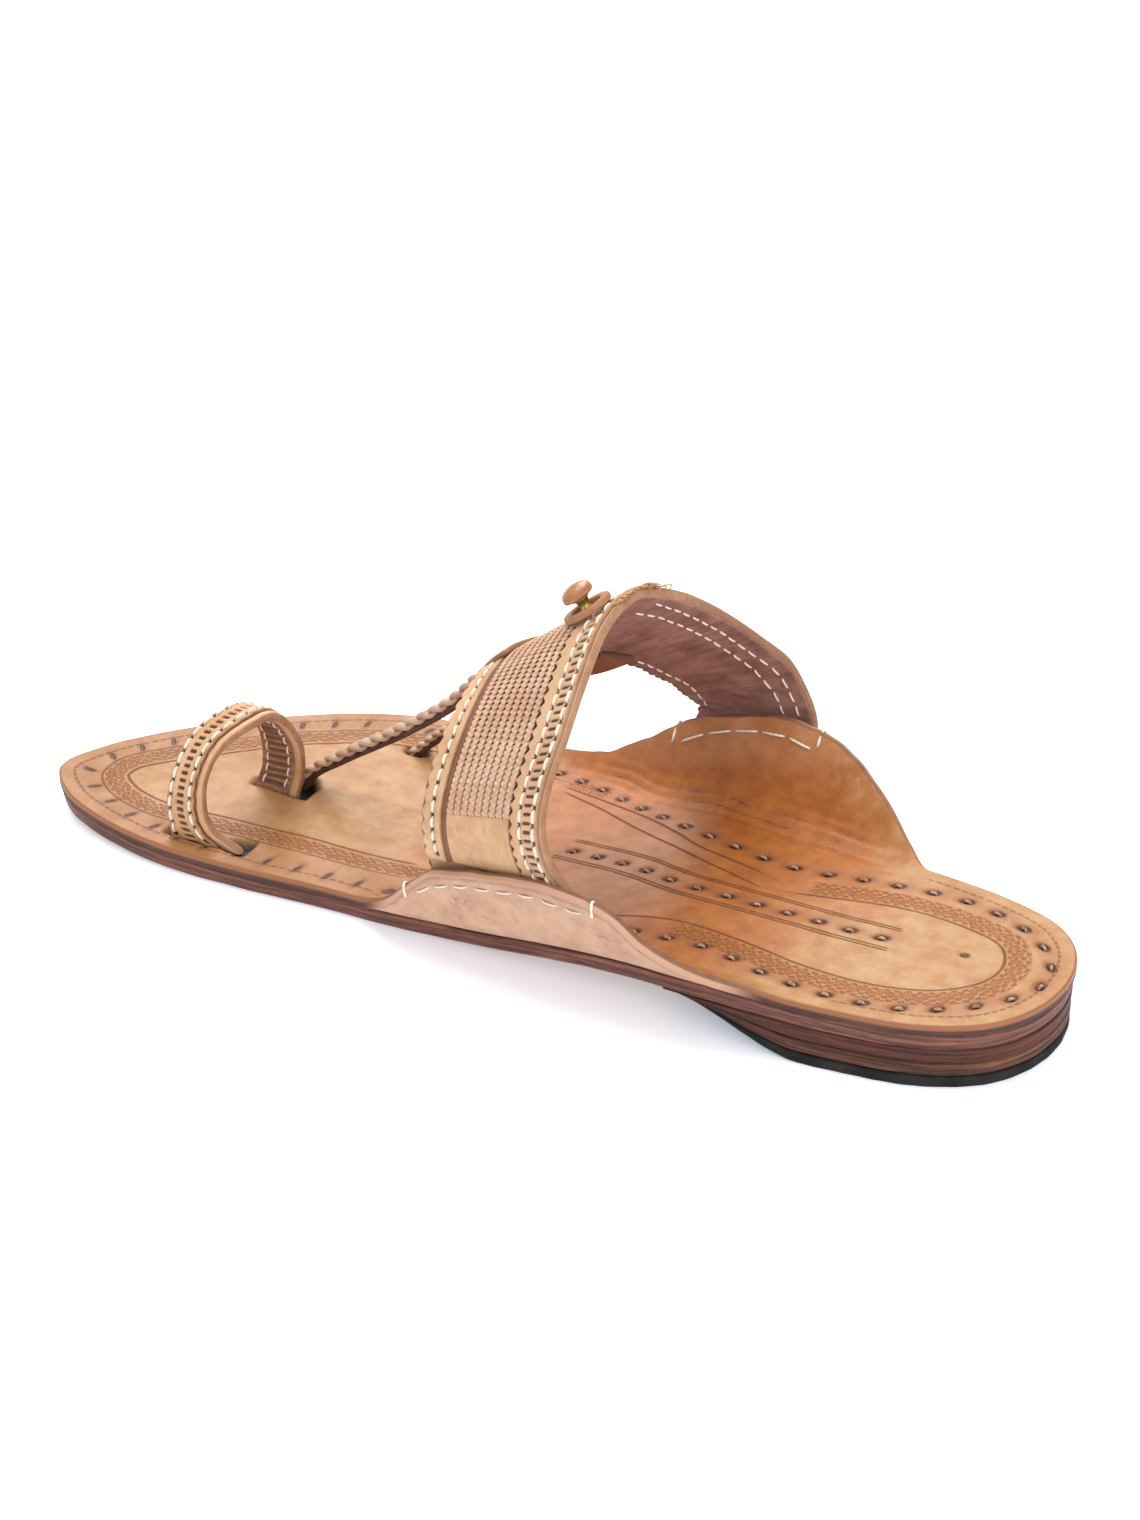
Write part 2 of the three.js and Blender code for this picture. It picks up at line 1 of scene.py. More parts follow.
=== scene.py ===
"""A right kolhapuri sandal: its leathers, braids, stitches and tooling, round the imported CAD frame.

Shapes are worked out in millimetres, with y = 0 at the back of the heel, x = 0
at the heel's middle, z = 0 on the ground, +Y to the toe and +X to the outer
side of the foot. They are moved into the frame, in metres, when a mesh is made.
"""

import math

import bpy
import numpy as np
from bpy.props import FloatProperty, FloatVectorProperty, IntProperty, PointerProperty
from mathutils import Matrix, Vector


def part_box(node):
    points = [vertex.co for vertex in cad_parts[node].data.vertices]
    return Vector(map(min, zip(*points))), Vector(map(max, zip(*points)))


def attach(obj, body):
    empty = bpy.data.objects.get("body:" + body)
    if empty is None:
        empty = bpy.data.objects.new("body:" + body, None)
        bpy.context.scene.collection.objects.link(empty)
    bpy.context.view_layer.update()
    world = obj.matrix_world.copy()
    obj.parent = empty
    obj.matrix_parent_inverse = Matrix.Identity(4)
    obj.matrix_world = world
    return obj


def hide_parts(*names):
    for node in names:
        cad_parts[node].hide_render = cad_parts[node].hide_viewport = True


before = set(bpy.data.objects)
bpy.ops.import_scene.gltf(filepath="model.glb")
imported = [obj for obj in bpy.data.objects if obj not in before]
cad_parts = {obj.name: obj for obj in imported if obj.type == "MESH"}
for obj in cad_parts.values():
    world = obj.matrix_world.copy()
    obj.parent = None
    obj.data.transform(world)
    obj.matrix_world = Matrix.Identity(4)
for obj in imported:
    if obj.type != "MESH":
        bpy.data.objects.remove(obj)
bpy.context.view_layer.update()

bl_info = {
    "name": "Kolhapuri Sandal",
    "version": (1, 0, 0),
    "blender": (4, 5, 0),
    "location": "View3D > Sidebar > Sandal",
    "description": "Builds a leather toe-ring sandal round its CAD frame",
    "category": "Object",
}

# ---------------------------------------------------------------- dimensions

HEEL_HEIGHT = 10.5
OUTSOLE_THICK = 4.3
INSOLE_THICK = 2.8
WAIST_FRONT, WAIST_BACK = 175, 90
SPRING_START, TOE_END, TOE_SPRING = 215, 280, 2.9
HEEL_FLAT_END, HEEL_TIP = 52, 88
SOLE_TAPER, HEEL_TAPER = 0.8, 1.1
TREAD_TOP, LIFT_JOINT = 0.28, 0.64
END_SLICE = 0.3
BEND_INSET, BEND_RADIUS = 4.6, 9
MM = 1000

# The sole's outline, from the back of the heel along the inner side to the
# tip of the toe, and back along the outer side.
OUTLINE = np.array([
    (-0.5, 0), (-13.5, 2.8), (-23.6, 10), (-31, 24), (-34.2, 46), (-34.1, 72),
    (-32.6, 101), (-29, 130), (-25, 158), (-24, 186), (-25, 213), (-24.4, 237),
    (-20.6, 257), (-14.4, 271.5), (-4.5, 280), (8.5, 276.3), (21, 268.5),
    (34, 257.5), (47, 243), (58, 226), (64.3, 208), (65, 190), (60.4, 169),
    (52, 147), (44.5, 125), (39, 102), (35.8, 78), (32.8, 48), (28.6, 25),
    (22.3, 10.2), (13, 2.6),
], float)
TIP_ROW = 14

# y, how far the insole runs out past the outline as an ear, and its lean.
INNER_EAR = [
    (56, 0, 0), (66, 1.2, 25), (76, 4.8, 40), (88, 11, 58), (96, 18, 68),
    (104, 20.8, 71), (121, 23.2, 72), (134, 22.6, 72), (147, 20.8, 72),
    (156, 15, 64), (163, 9, 52), (170, 4, 35), (178, 0, 0),
]
OUTER_EAR = [
    (48, 0, 0), (55, 4.5, 38), (63.5, 12.4, 56), (74, 20.6, 63), (84, 24.4, 65),
    (93, 25.2, 65), (108, 22.9, 65), (122, 19.6, 65), (130.5, 15, 60),
    (140, 10, 50), (150.5, 5.5, 35), (166, 2.5, 16), (178, 0, 0),
]

# The band's outer surface, row by row over the foot: its rear edge's point
# and its front edge's point.
BAND = np.array([
    (-32.7, 107.5, 20.7, -27.8, 149, 16.5),
    (-36.9, 109.9, 31.4, -31.7, 150.8, 28.5),
    (-38.8, 114.3, 41.8, -34.6, 150.2, 37),
    (-38.5, 115.8, 49.9, -35.3, 149.7, 43.5),
    (-34.6, 116.2, 58, -33.5, 149.5, 49),
    (-27, 115.3, 68.3, -28.5, 149.7, 55),
    (-16.4, 115.1, 80, -18, 150.3, 61.3),
    (-5, 115.3, 88, -6, 151.5, 63.8),
    (7, 113.8, 90.6, 4.8, 152.5, 62.8),
    (20.6, 109, 85, 17.6, 142.5, 63.4),
    (33, 106, 76.4, 28.8, 134.8, 59.6),
    (42.2, 103.4, 68.5, 37.8, 130, 54.8),
    (49.2, 99.3, 60.8, 45.3, 127.6, 48.8),
    (53.6, 94.8, 54.4, 51.1, 126, 44.3),
    (55.6, 91.4, 46.8, 55.5, 124.8, 39.5),
    (55.8, 88.4, 38, 60.8, 122.5, 33),
    (51.2, 86.4, 27, 56.4, 120.5, 22),
], float)
LAST_ROW = len(BAND) - 1
CREST = 8
BRAID_ROWS = (3.22, 13.6)
# about how wide the band is, and how far apart its rows are, in mm
BAND_WIDE, ROW_APART = 41, 9.5
STUD_ROW, STUD_ACROSS = 7.55, 0.19

# angle round the toe, and y of the ring's rear and front edges there
RING = [
    (-24, 215.5, 236.5), (-17, 218.5, 236.2), (-9, 223, 235.8), (4, 225, 236.1),
    (20, 225.4, 235.3), (35, 224.7, 234.2), (55, 222.5, 232.4), (75, 218.8, 229.6),
    (90, 217, 227.8), (120, 216.6, 226.8), (145, 215.9, 226.9), (160, 215.2, 227.4),
    (180, 215.8, 228.2), (204, 217.5, 230.5),
]
RING_MIDDLE, RING_HALF_WIDTH = -1.5, 16.5
RING_ARCH = (14, 22.5)

THONG_PATH = [
    (20.1, 220, 6.2), (19.4, 216.6, 11), (17.2, 205.8, 19.2),
    (13.3, 183.7, 34.6), (9.8, 166.4, 48.4), (6.6, 155.6, 59.8),
]
SIDE_THONG_PATH = [
    (46.5, 202, 6), (45.2, 193.5, 13.8), (40.6, 177, 27.6), (34, 157, 41),
    (27.4, 142, 51),
]

# Tooling on the insole: the row of stitch holes, the centre row, the inner
# border of the heel's stamped strip, the outer border of the forefoot's, and
# two long lines at the waist.
HOLE_ROW = [
    (-4, 5.2), (-15.7, 13), (-25.6, 29), (-28.2, 48), (-26, 66), (-22, 81),
    (-22.5, 97), (-22.5, 118), (-19.5, 146), (-18.5, 175), (-19, 205),
    (-18.5, 236), (-13.5, 257), (-3.5, 272), (9, 269.5), (29, 253.5),
    (45.5, 235), (56, 214), (57.5, 191), (53, 167), (46.5, 148), (37, 130),
    (29.5, 114), (22.5, 94), (19.7, 77), (22.2, 57), (22.9, 32), (15.6, 14.5),
    (6, 6.4),
]
CENTRE_ROW = [(12.7, 140), (6.7, 115.6), (1.8, 100), (0.7, 85), (-0.4, 62), (-0.7, 42)]
HEEL_BORDER = [
    (-21, 122), (-15.5, 100), (-14.6, 88), (-16.2, 75.7), (-19.6, 58), (-19.6, 38),
    (-15.4, 25.3), (-8, 17.6), (0.4, 16), (8.2, 19.9), (12.3, 31.6),
    (13.2, 47.3), (9.1, 71.6),
]
FORE_BORDER = [
    (-11.2, 168), (-12.1, 186), (-11.8, 205), (-12.2, 225), (-13.4, 246), (-9.6, 260.5),
    (-2.8, 268), (6.5, 268), (15.4, 262), (29.5, 248), (43.2, 232),
    (53.2, 211), (55, 192), (50.5, 172),
]
WAIST_LINE = [(44.6, 156), (39, 142), (32, 126), (24.5, 112), (19.6, 103.5), (13.9, 83)]
WAIST_LINE_INNER = [(42, 155), (34, 139), (24.3, 122.5), (14.1, 101), (7.6, 81)]
TOOLED_ROWS = {
    "centre": CENTRE_ROW, "heel_band": HEEL_BORDER, "fore_band": FORE_BORDER,
    "waist": WAIST_LINE, "waist_inner": WAIST_LINE_INNER,
}
NAIL_HOLE = (1.1, 25.9)
HOLE_PITCH, CENTRE_PITCH = 8.8, 8.2
# half length, half width and lean of the stitch holes, and of the slits at the toe
OVAL, CENTRE_OVAL = (1.95, 1.3, 0.5), (2.0, 1.3, 0.5)
SLIT, SLIT_LINE = (0.8, 2.0, 0.25), (0.7, 2.0, 0.25)
FORE_START, FORE_FULL = 168, 178

# x of the middle, and y of the rear and front, of the slots for the ring's legs
RING_SLOTS = ((-17.0, 213.8, 238.0), (14.2, 214.6, 231.5))
# x, y and half sizes of the thongs' holes
THONG_HOLES = ((19.9, 219.5, 2.6, 4.2), (46.3, 200.5, 2.4, 3.8))

# ------------------------------------------------------------ number helpers


def catmull(points, share, closed=False):
    """Points on the centripetal Catmull-Rom curve through a table, at shares of its count of spans:
    a cubic between two rows whose slopes weigh the neighbouring chords by their square roots."""
    table = np.asarray(points, float)
    spans = len(table) if closed else len(table) - 1
    place = np.asarray(share, float) * spans
    i = np.clip(np.floor(place).astype(int), 0, spans - 1)
    t = (place - i)[..., None]
    if closed:
        p0, p1, p2, p3 = (table[(i + k) % len(table)] for k in (-1, 0, 1, 2))
    else:
        ends = np.vstack([2 * table[0] - table[1], table, 2 * table[-1] - table[-2]])
        p0, p1, p2, p3 = (ends[i + k] for k in range(4))
    pairs = ((p0, p1), (p1, p2), (p2, p3))
    a, b, c = (np.sqrt(np.linalg.norm(q - p, axis=-1, keepdims=True)) for p, q in pairs)
    out = ((p1 - p0) / a - (p2 - p0) / (a + b) + (p2 - p1) / b) * b
    back = ((p2 - p1) / b - (p3 - p1) / (b + c) + (p3 - p2) / c) * b
    return p1 + out * t + (3 * (p2 - p1) - 2 * out - back) * t**2 + (2 * (p1 - p2) + out + back) * t**3


def read_table(table, at):
    """Columns of a table at places between its rows, by a cubic that never overshoots."""
    rows = np.asarray(table, float)
    x, v = rows[:, 0], rows[:, 1:]
    at = np.clip(at, x[0], x[-1])
    i = np.clip(np.searchsorted(x, at) - 1, 0, len(x) - 2)
    slope = np.diff(v, axis=0) / np.diff(x)[:, None]
    before, after = slope[:-1], slope[1:]
    turning = before * after <= 0
    inner = np.where(turning, 0, 2 * before * after / np.where(turning, 1, before + after))
    tangent = np.vstack([0 * v[:1], inner, 0 * v[:1]])
    span = (x[i + 1] - x[i])[..., None]
    t = (at - x[i])[..., None] / span
    rise = v[i + 1] - v[i]
    a = tangent[i] * span - rise
    b = rise - tangent[i + 1] * span
    found = v[i] + t * rise + t * (1 - t) * (a * (1 - t) + b * t)
    return np.moveaxis(found, -1, 0)


def ease(low, high, at):
    """0 below low and 1 above high, with a smooth step between."""
    t = np.clip((at - low) / (high - low), 0, 1)
    return t * t * (3 - 2 * t)


def lumps(x, y, size, seed):
    """Smooth seeded unevenness from -1 to 1: a sum of waves in several directions, about size apart."""
    rng = np.random.default_rng(seed)
    total = 0
    for turn in np.arange(5) * 1.2566 + rng.uniform(0, 1, 5):
        pitch = 2 * np.pi / (size * rng.uniform(0.7, 1.5))
        total = total + np.sin((x * np.cos(turn) + y * np.sin(turn)) * pitch + rng.uniform(0, 6.28))
    return total / 5


def rounded(top, distance, radius):
    """A height that falls off as a quarter circle within radius of an edge."""
    inside = np.clip(radius - distance, 0, radius)
    return top - radius + np.sqrt(radius**2 - inside**2)


def back_lift(edge, radius, round_back):
    """How far a strip's underside rises within radius of its edges, where its back is rounded too."""
    return radius - np.sqrt(radius**2 - np.clip(radius - edge, 0, radius) ** 2) if round_back else 0 * edge


def lengths(points):
    """Distance along a row of points."""
    steps = np.linalg.norm(np.diff(points, axis=0), axis=1)
    return np.concatenate([[0], np.cumsum(steps)])


def unit(v):
    return v / np.maximum(np.linalg.norm(v, axis=-1, keepdims=True), 1e-12)


def ways(line):
    """The way along a line at each of its points."""
    return unit(np.gradient(line, axis=0))


def at_run(at, run, line):
    """A line's points at distances along it."""
    return np.stack([np.interp(at, run, column) for column in line.T], -1)


def near_edges(width, margin=(0, 0.1, 0.28, 0.55, 0.95), step=0.8):
    """Shares from 0 to 1 across a width in mm, close together at both sides."""
    side = np.array(margin)
    count = max(int(round((width - 2 * side[-1]) / step)), 2)
    middle = np.linspace(side[-1], width - side[-1], count + 1)[1:-1]
    return np.concatenate([side, middle, width - side[::-1]]) / width


BATCH = 4000


def closest(flat, line):
    """For points on the plane: the index of the nearest point of a line, worked out in batches."""
    parts = np.array_split(flat, max(len(flat) // BATCH, 1))
    return np.concatenate([((part[:, None, :] - line[None]) ** 2).sum(-1).argmin(1) for part in parts])


def nearest_on(curve, x, y, closed=False, samples=700):
    """For points on the plane: how far along a curve the nearest point is, the signed distance to its
    left, and the curve's length."""
    share = np.linspace(0, 1, samples)
    line = catmull(curve, share, closed)
    run = lengths(line)
    way = ways(line)
    flat = np.stack([np.ravel(x), np.ravel(y)], axis=-1)
    index = closest(flat, line)
    offset = flat - line[index]
    along = (offset * way[index]).sum(-1)
    if not closed:
        along = np.where((index > 0) & (index < samples - 1), along, 0)
    left = way[index, 0] * offset[:, 1] - way[index, 1] * offset[:, 0]
    far = np.sqrt(np.abs(np.linalg.norm(offset, axis=-1) ** 2 - along**2))
    signed = np.where(left < 0, -far, far)
    return (run[index] + along).reshape(np.shape(x)), signed.reshape(np.shape(x)), run[-1]


# ------------------------------------------------------------- mesh helpers

OUTLINE_SAMPLES = 3000
WELD = 1e-4


def outline_branch(side):
    """The outline's inner (-1) or outer (1) side as points whose y only grows."""
    tip = TIP_ROW / len(OUTLINE)
    share = np.linspace(0, tip, OUTLINE_SAMPLES) if side < 0 else np.linspace(1, tip, OUTLINE_SAMPLES)
    line = catmull(OUTLINE, share, closed=True)
    line[:, 1] = np.maximum.accumulate(line[:, 1])
    return line


BRANCH = {side: outline_branch(side) for side in (-1, 1)}


def edge_x(side, y):
    """The outline's x at y."""
    return np.interp(y, BRANCH[side][:, 1], BRANCH[side][:, 0])


def edge_out(side, y):
    """The level direction out of the outline at y."""
    line = BRANCH[side]
    way = ways(line)
    out = np.stack([-way[:, 1], way[:, 0]], axis=-1) * (1 if side < 0 else -1)
    return unit(at_run(y, line[:, 1], out))


SHIFT_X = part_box("outsole")[0].x * MM - BRANCH[-1][:, 0].min()
SHIFT_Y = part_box("outsole")[0].y * MM - END_SLICE


def to_frame(points):
    """Millimetres of this file to metres of the frame."""
    return (np.asarray(points, float) + (SHIFT_X, SHIFT_Y, 0)) / MM


class Shell:
    """Gathers closed grids of points in millimetres and makes one mesh of them."""

    def __init__(self):
        self.points, self.faces, self.fields, self.count = [], [], {}, 0

    def add(self, grid, **fields):
        """Adds one grid (rows, columns, 3) or many (n, rows, columns, 3) whose last column joins the first.
        Faces are turned outwards by the sign of the volume that they close."""
        grids = grid[None] if grid.ndim == 3 else grid
        n, rows, cols = grids.shape[:3]
        flat = grids.reshape(-1, 3)
        index = np.arange(len(flat)).reshape(n, rows, cols)
        right = np.roll(index, -1, axis=2)
        faces = np.stack([index[:, :-1], right[:, :-1], right[:, 1:], index[:, 1:]], axis=-1).reshape(-1, 4)
        a, b, c, d = (flat[faces[:, k]] - flat[0] for k in range(4))
        volume = (np.cross(a, b) * c).sum() + (np.cross(a, c) * d).sum()
        if volume < 0:
            faces = faces[:, ::-1]
        self.points.append(flat)
        self.faces.append(faces + self.count)
        for name, value in fields.items():
            self.fields.setdefault(name, []).append(np.reshape(value, (len(flat), -1)))
        self.count += len(flat)
        return self

    def mesh(self, name):
        """The welded mesh in the frame: quads, with triangles where a side has closed up."""
        points = np.concatenate(self.points)
        faces = np.concatenate(self.faces)
        keys = np.round(points / WELD).astype(np.int64)
        _, first, inverse = np.unique(keys, axis=0, return_index=True, return_inverse=True)
        faces = inverse.reshape(-1)[faces]
        same = faces == np.roll(faces, -1, axis=1)
        crossed = (faces[:, 0] == faces[:, 2]) | (faces[:, 1] == faces[:, 3])
        quads = faces[(same.sum(1) == 0) & ~crossed]
        pinched = (same.sum(1) == 1) & ~crossed
        tris = faces[pinched][~same[pinched]].reshape(-1, 3)
        loops = np.concatenate([quads.ravel(), tris.ravel()])
        starts = np.concatenate([np.arange(len(quads)) * 4, len(quads) * 4 + np.arange(len(tris)) * 3])
        made = bpy.data.meshes.new(name)
        made.vertices.add(len(first))
        made.vertices.foreach_set("co", to_frame(points[first]).ravel())
        made.loops.add(len(loops))
        made.loops.foreach_set("vertex_index", loops)
        made.polygons.add(len(starts))
        made.polygons.foreach_set("loop_start", starts)
        made.polygons.foreach_set("use_smooth", np.ones(len(starts), bool))
        for field, parts in self.fields.items():
            value = np.concatenate(parts)[first]
            kind = "FLOAT" if value.shape[1] == 1 else "FLOAT_VECTOR"
            target = made.attributes.new(field, kind, "POINT")
            key = "value" if kind == "FLOAT" else "vector"
            target.data.foreach_set(key, value.astype(np.float32).ravel())
        made.update(calc_edges=True)
        if made.validate():
            raise RuntimeError(f"{name}: the mesh had faults")
        return made


def strap(shell, place, u, v, top, bottom, **fields):
    """A closed sheet of leather on a surface.

    place(u, v, h) gives the point at height h over the surface. The columns run over the top and
    back along the bottom, and both ends fold onto the line halfway between. A field is a pair: its
    values on the top and on the bottom.
    """
    u, v, top, bottom = np.broadcast_arrays(u, v, top, bottom)
    loop = np.concatenate([place(u, v, top), place(u, v, bottom)[:, ::-1]], axis=1)
    ends = slice(0, len(u), len(u) - 1)
    middle = place(u[ends], v[ends], (top[ends] + bottom[ends]) / 2)
    caps = np.concatenate([middle, middle[:, ::-1]], axis=1)
    rows = np.concatenate([caps[:1], loop, caps[1:]])
    told = {}
    for name, (above, below) in fields.items():
        shape = u.shape + np.shape(above)[2:] if np.ndim(above) > 2 else u.shape
        both = [np.broadcast_to(above, shape), np.broadcast_to(below, shape)[:, ::-1]]
        value = np.concatenate(both, axis=1)
        told[name] = np.concatenate([value[:1], value, value[-1:]])
    shell.add(rows, **told)
    return shell


def tubes(shell, centres, side, lift, wide, high, sides=8, **fields):
    """Closed tubes along lines of centres (n, rings, 3), with a section of half width wide and half height
    high along the directions side and lift. The end rings close on their centres."""
    centres = centres[None] if centres.ndim == 2 else centres
    side, lift = np.broadcast_to(side, centres.shape), np.broadcast_to(lift, centres.shape)
    wide = np.broadcast_to(wide, centres.shape[:2])[..., None, None]
    high = np.broadcast_to(high, centres.shape[:2])[..., None, None]
    turn = np.linspace(0, 2 * np.pi, sides, endpoint=False)[:, None]
    sideways, upwards = side[:, :, None] * np.cos(turn) * wide, lift[:, :, None] * np.sin(turn) * high
    ring = centres[:, :, None] + sideways + upwards
    poles = np.repeat(centres[:, [0, -1], None], sides, axis=2)
    grid = np.concatenate([poles[:, :1], ring, poles[:, 1:]], axis=1)
    told = {}
    for name, value in fields.items():
        wide_value = np.broadcast_to(np.asarray(value)[..., None], ring.shape[:3])
        told[name] = np.concatenate([wide_value[:, :1], wide_value, wide_value[:, -1:]], axis=1)
    shell.add(grid, **told)
    return shell


def stitches(shell, start, end, normal, radius, rise, sink, rings=9):
    """Threads from start to end points, bowed out along the normals and dipping into the leather at
    both ends: height = rise sin(pi t) - sink (2t - 1)^8, with the thread thinner towards its ends."""
    t = np.linspace(0, 1, rings)[:, None]
    bow = rise * np.sin(np.pi * t) - sink * (2 * t - 1) ** 8
    centres = start[:, None] * (1 - t) + end[:, None] * t + normal[:, None] * bow
    way = unit(end - start)[:, None]
    side = unit(np.cross(way, normal[:, None]))
    lift = unit(np.cross(side, way))
    thick = radius * (1 - 0.35 * (2 * t[:, 0] - 1) ** 4)
    run = np.linspace(0, 1, rings)
    run = np.broadcast_to(run, centres.shape[:2])
    tubes(shell, centres, side, lift, thick[None], thick[None], sides=7, run=run)


def add_piece(name, shell, material, slot, *replaces):
    """Makes a shell's mesh and links it as a piece that rides on the sandal's body."""
    mesh = shell.mesh(name)
    piece = bpy.data.objects.new(name, mesh)
    bpy.context.scene.collection.objects.link(piece)
    mesh.materials.append(material)
    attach(piece, "root")
    if replaces:
        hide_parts(*replaces)
    return piece


# --------------------------------------------------------------- shader kit


def linear(*shade):
    """A colour written as 0 to 255 screen values, as the shader's linear colour."""
    part = [c / 255 for c in shade]
    return tuple(c / 12.92 if c <= 0.04045 else ((c + 0.055) / 1.055) ** 2.4 for c in part)


class Field:
    """One socket of a material, so that shader maths reads as an expression."""

    def __init__(self, finish, socket):
        self.finish, self.socket = finish, socket

    def maths(self, operation, *others):
        return self.finish.maths(operation, self, *others)

    def __add__(self, other):
        return self.maths("ADD", other)

    def __sub__(self, other):
        return self.maths("SUBTRACT", other)

    def __rsub__(self, other):
        return self.finish.maths("SUBTRACT", other, self)

    def __mul__(self, other):
        return self.maths("MULTIPLY", other)

    def __truediv__(self, other):
        return self.maths("DIVIDE", other)

    def __pow__(self, other):
        return self.maths("POWER", other)

    __radd__, __rmul__ = __add__, __mul__

    def step(self, low, high):
        """0 at low and 1 at high, with a smooth step between."""
        inputs = {"Value": self, "From Min": low, "From Max": high}
        return self.finish.node("ShaderNodeMapRange", {"interpolation_type": "SMOOTHSTEP"}, inputs)

    def near(self, middle, reach):
        """1 at middle, falling to 0 at reach on both sides."""
        return 1 - (self - middle).maths("ABSOLUTE").step(0, reach)

    def within(self, low, high, soft=0.3):
        """1 between low and high, with soft edges."""
        return self.step(low - soft, low + soft) * (1 - self.step(high - soft, high + soft))

    def sine(self):
        return self.maths("SINE")

    def clamp(self):
        return self.maths("MAXIMUM", 0).maths("MINIMUM", 1)


class Finish:
    """A procedural material under construction. Colours are linear and sizes are millimetres."""

    def __init__(self, name):
        self.material = bpy.data.materials.new(name)
        self.material.use_nodes = True
        self.tree = self.material.node_tree
        self.skin = next(n for n in self.tree.nodes if n.type == "BSDF_PRINCIPLED")

    def feed(self, socket, value):
        if isinstance(value, Field):
            self.tree.links.new(value.socket, socket)
        elif isinstance(value, (tuple, list)) and len(value) == 3 and socket.type == "RGBA":
            socket.default_value = (*value, 1)
        else:
            socket.default_value = value

    def node(self, kind, settings=None, inputs=None, output=0):
        made = self.tree.nodes.new(kind)
        for key, value in (settings or {}).items():
            setattr(made, key, value)
        for key, value in (inputs or {}).items():
            self.feed(made.inputs[key], value)
        return Field(self, made.outputs[output])

    def maths(self, operation, *values):
        return self.node("ShaderNodeMath", {"operation": operation}, dict(enumerate(values)))

    def mix(self, factor, a, b):
        """Colour a where factor is 0, b where it is 1."""
        return self.node("ShaderNodeMix", {"data_type": "RGBA"}, {0: factor, 6: a, 7: b}, 2)

    def vector(self, x, y, z=0.0):
        return self.node("ShaderNodeCombineXYZ", None, {"X": x, "Y": y, "Z": z})

    def told(self, name):
        """A number that the mesh carries."""
        return self.node("ShaderNodeAttribute", {"attribute_name": name}, None, 2)

    def told_three(self, name):
        """Three numbers that the mesh carries."""
        return self.split(self.node("ShaderNodeAttribute", {"attribute_name": name}, None, 1))

    def split(self, vector):
        """A vector's three parts."""
        parts = self.tree.nodes.new("ShaderNodeSeparateXYZ")
        self.feed(parts.inputs[0], vector)
        return [Field(self, socket) for socket in parts.outputs]

    def place(self):
        """The point on the object, in millimetres."""
        spot = self.node("ShaderNodeTexCoord", None, None, 3)
        return self.node("ShaderNodeVectorMath", {"operation": "SCALE"}, {0: spot, "Scale": float(MM)})

    def noise(self, size, detail=3.0, rough=0.55, where=None, warp=0.0):
        """Cloudy noise from 0 to 1 whose lumps are about size across."""
        inputs = {"Vector": where or self.place(), "Scale": 1 / size}
        inputs.update({"Detail": detail, "Roughness": rough, "Distortion": warp})
        return self.node("ShaderNodeTexNoise", None, inputs)

    def streaks(self, along, across, seed=0.0, detail=4, rough=0.65, warp=0.0):
        """The same noise drawn out along two coordinates that are already scaled."""
        return self.noise(1.0, detail, rough, self.vector(along, across, float(seed)), warp)

    def cells(self, size):
        """Distance to scattered points, about size apart."""
        return self.node("ShaderNodeTexVoronoi", None, {"Vector": self.place(), "Scale": 1 / size})

    def bump(self, height, depth, under=None):
        """A normal from a height field of 0 to 1 that stands for depth mm."""
        inputs = {"Height": height, "Distance": depth / MM, "Strength": 1.0}
        if under is not None:
            inputs["Normal"] = under
        return self.node("ShaderNodeBump", None, inputs)

    def close(self, base, rough, normal=None, **constants):
        """Feeds the skin shader and gives the material."""
        for key, value in {"Base Color": base, "Roughness": rough, "Normal": normal}.items():
            if value is not None:
                self.feed(self.skin.inputs[key], value)
        for key, value in constants.items():
            self.skin.inputs[key.replace("_", " ")].default_value = value
        return self.material


PORE, PEBBLE = 0.35, 0.9


def grain(finish):
    """Leather grain: fine pores over a soft pebbling, as a height of 0 to 1."""
    pores = finish.cells(PORE).step(0.0, 0.55)
    return pores * 0.45 + finish.noise(PEBBLE, 4, 0.65) * 0.55


# --------------------------------------------------------- sole and its edge


def under_outsole(y):
    """Height of the outsole's underside: the heel's height back of the waist, and the toe's spring."""
    waist = HEEL_HEIGHT * (1 - ease(WAIST_BACK, WAIST_FRONT, y))
    lift = np.clip((y - SPRING_START) / (TOE_END - SPRING_START), 0, None)
    return waist + TOE_SPRING * lift**2


def top_of_insole(y):
    return under_outsole(y) + OUTSOLE_THICK + INSOLE_THICK


def under_heel(y):
    """Height of the heel's underside, which curves up to the outsole at its front."""
    return under_outsole(y) * ease(HEEL_FLAT_END, HEEL_TIP, y)


# Shares of a layer's height and of its width where its points lie, and how
# sharply its two corners are rounded off.
SIDE_RISE = np.array([0, 0.04, 0.12, 0.3, 0.5, 0.7, 0.88, 0.96, 1])
FLAT_SHARE = np.array([0.0, 0.01, 0.03, 0.1, 0.3, 0.5, 0.7, 0.9, 0.97, 0.99, 1.0])
CORNER_INSET, CORNER_POWER = 0.5, 6
EDGE_WAVE_PITCH = 9


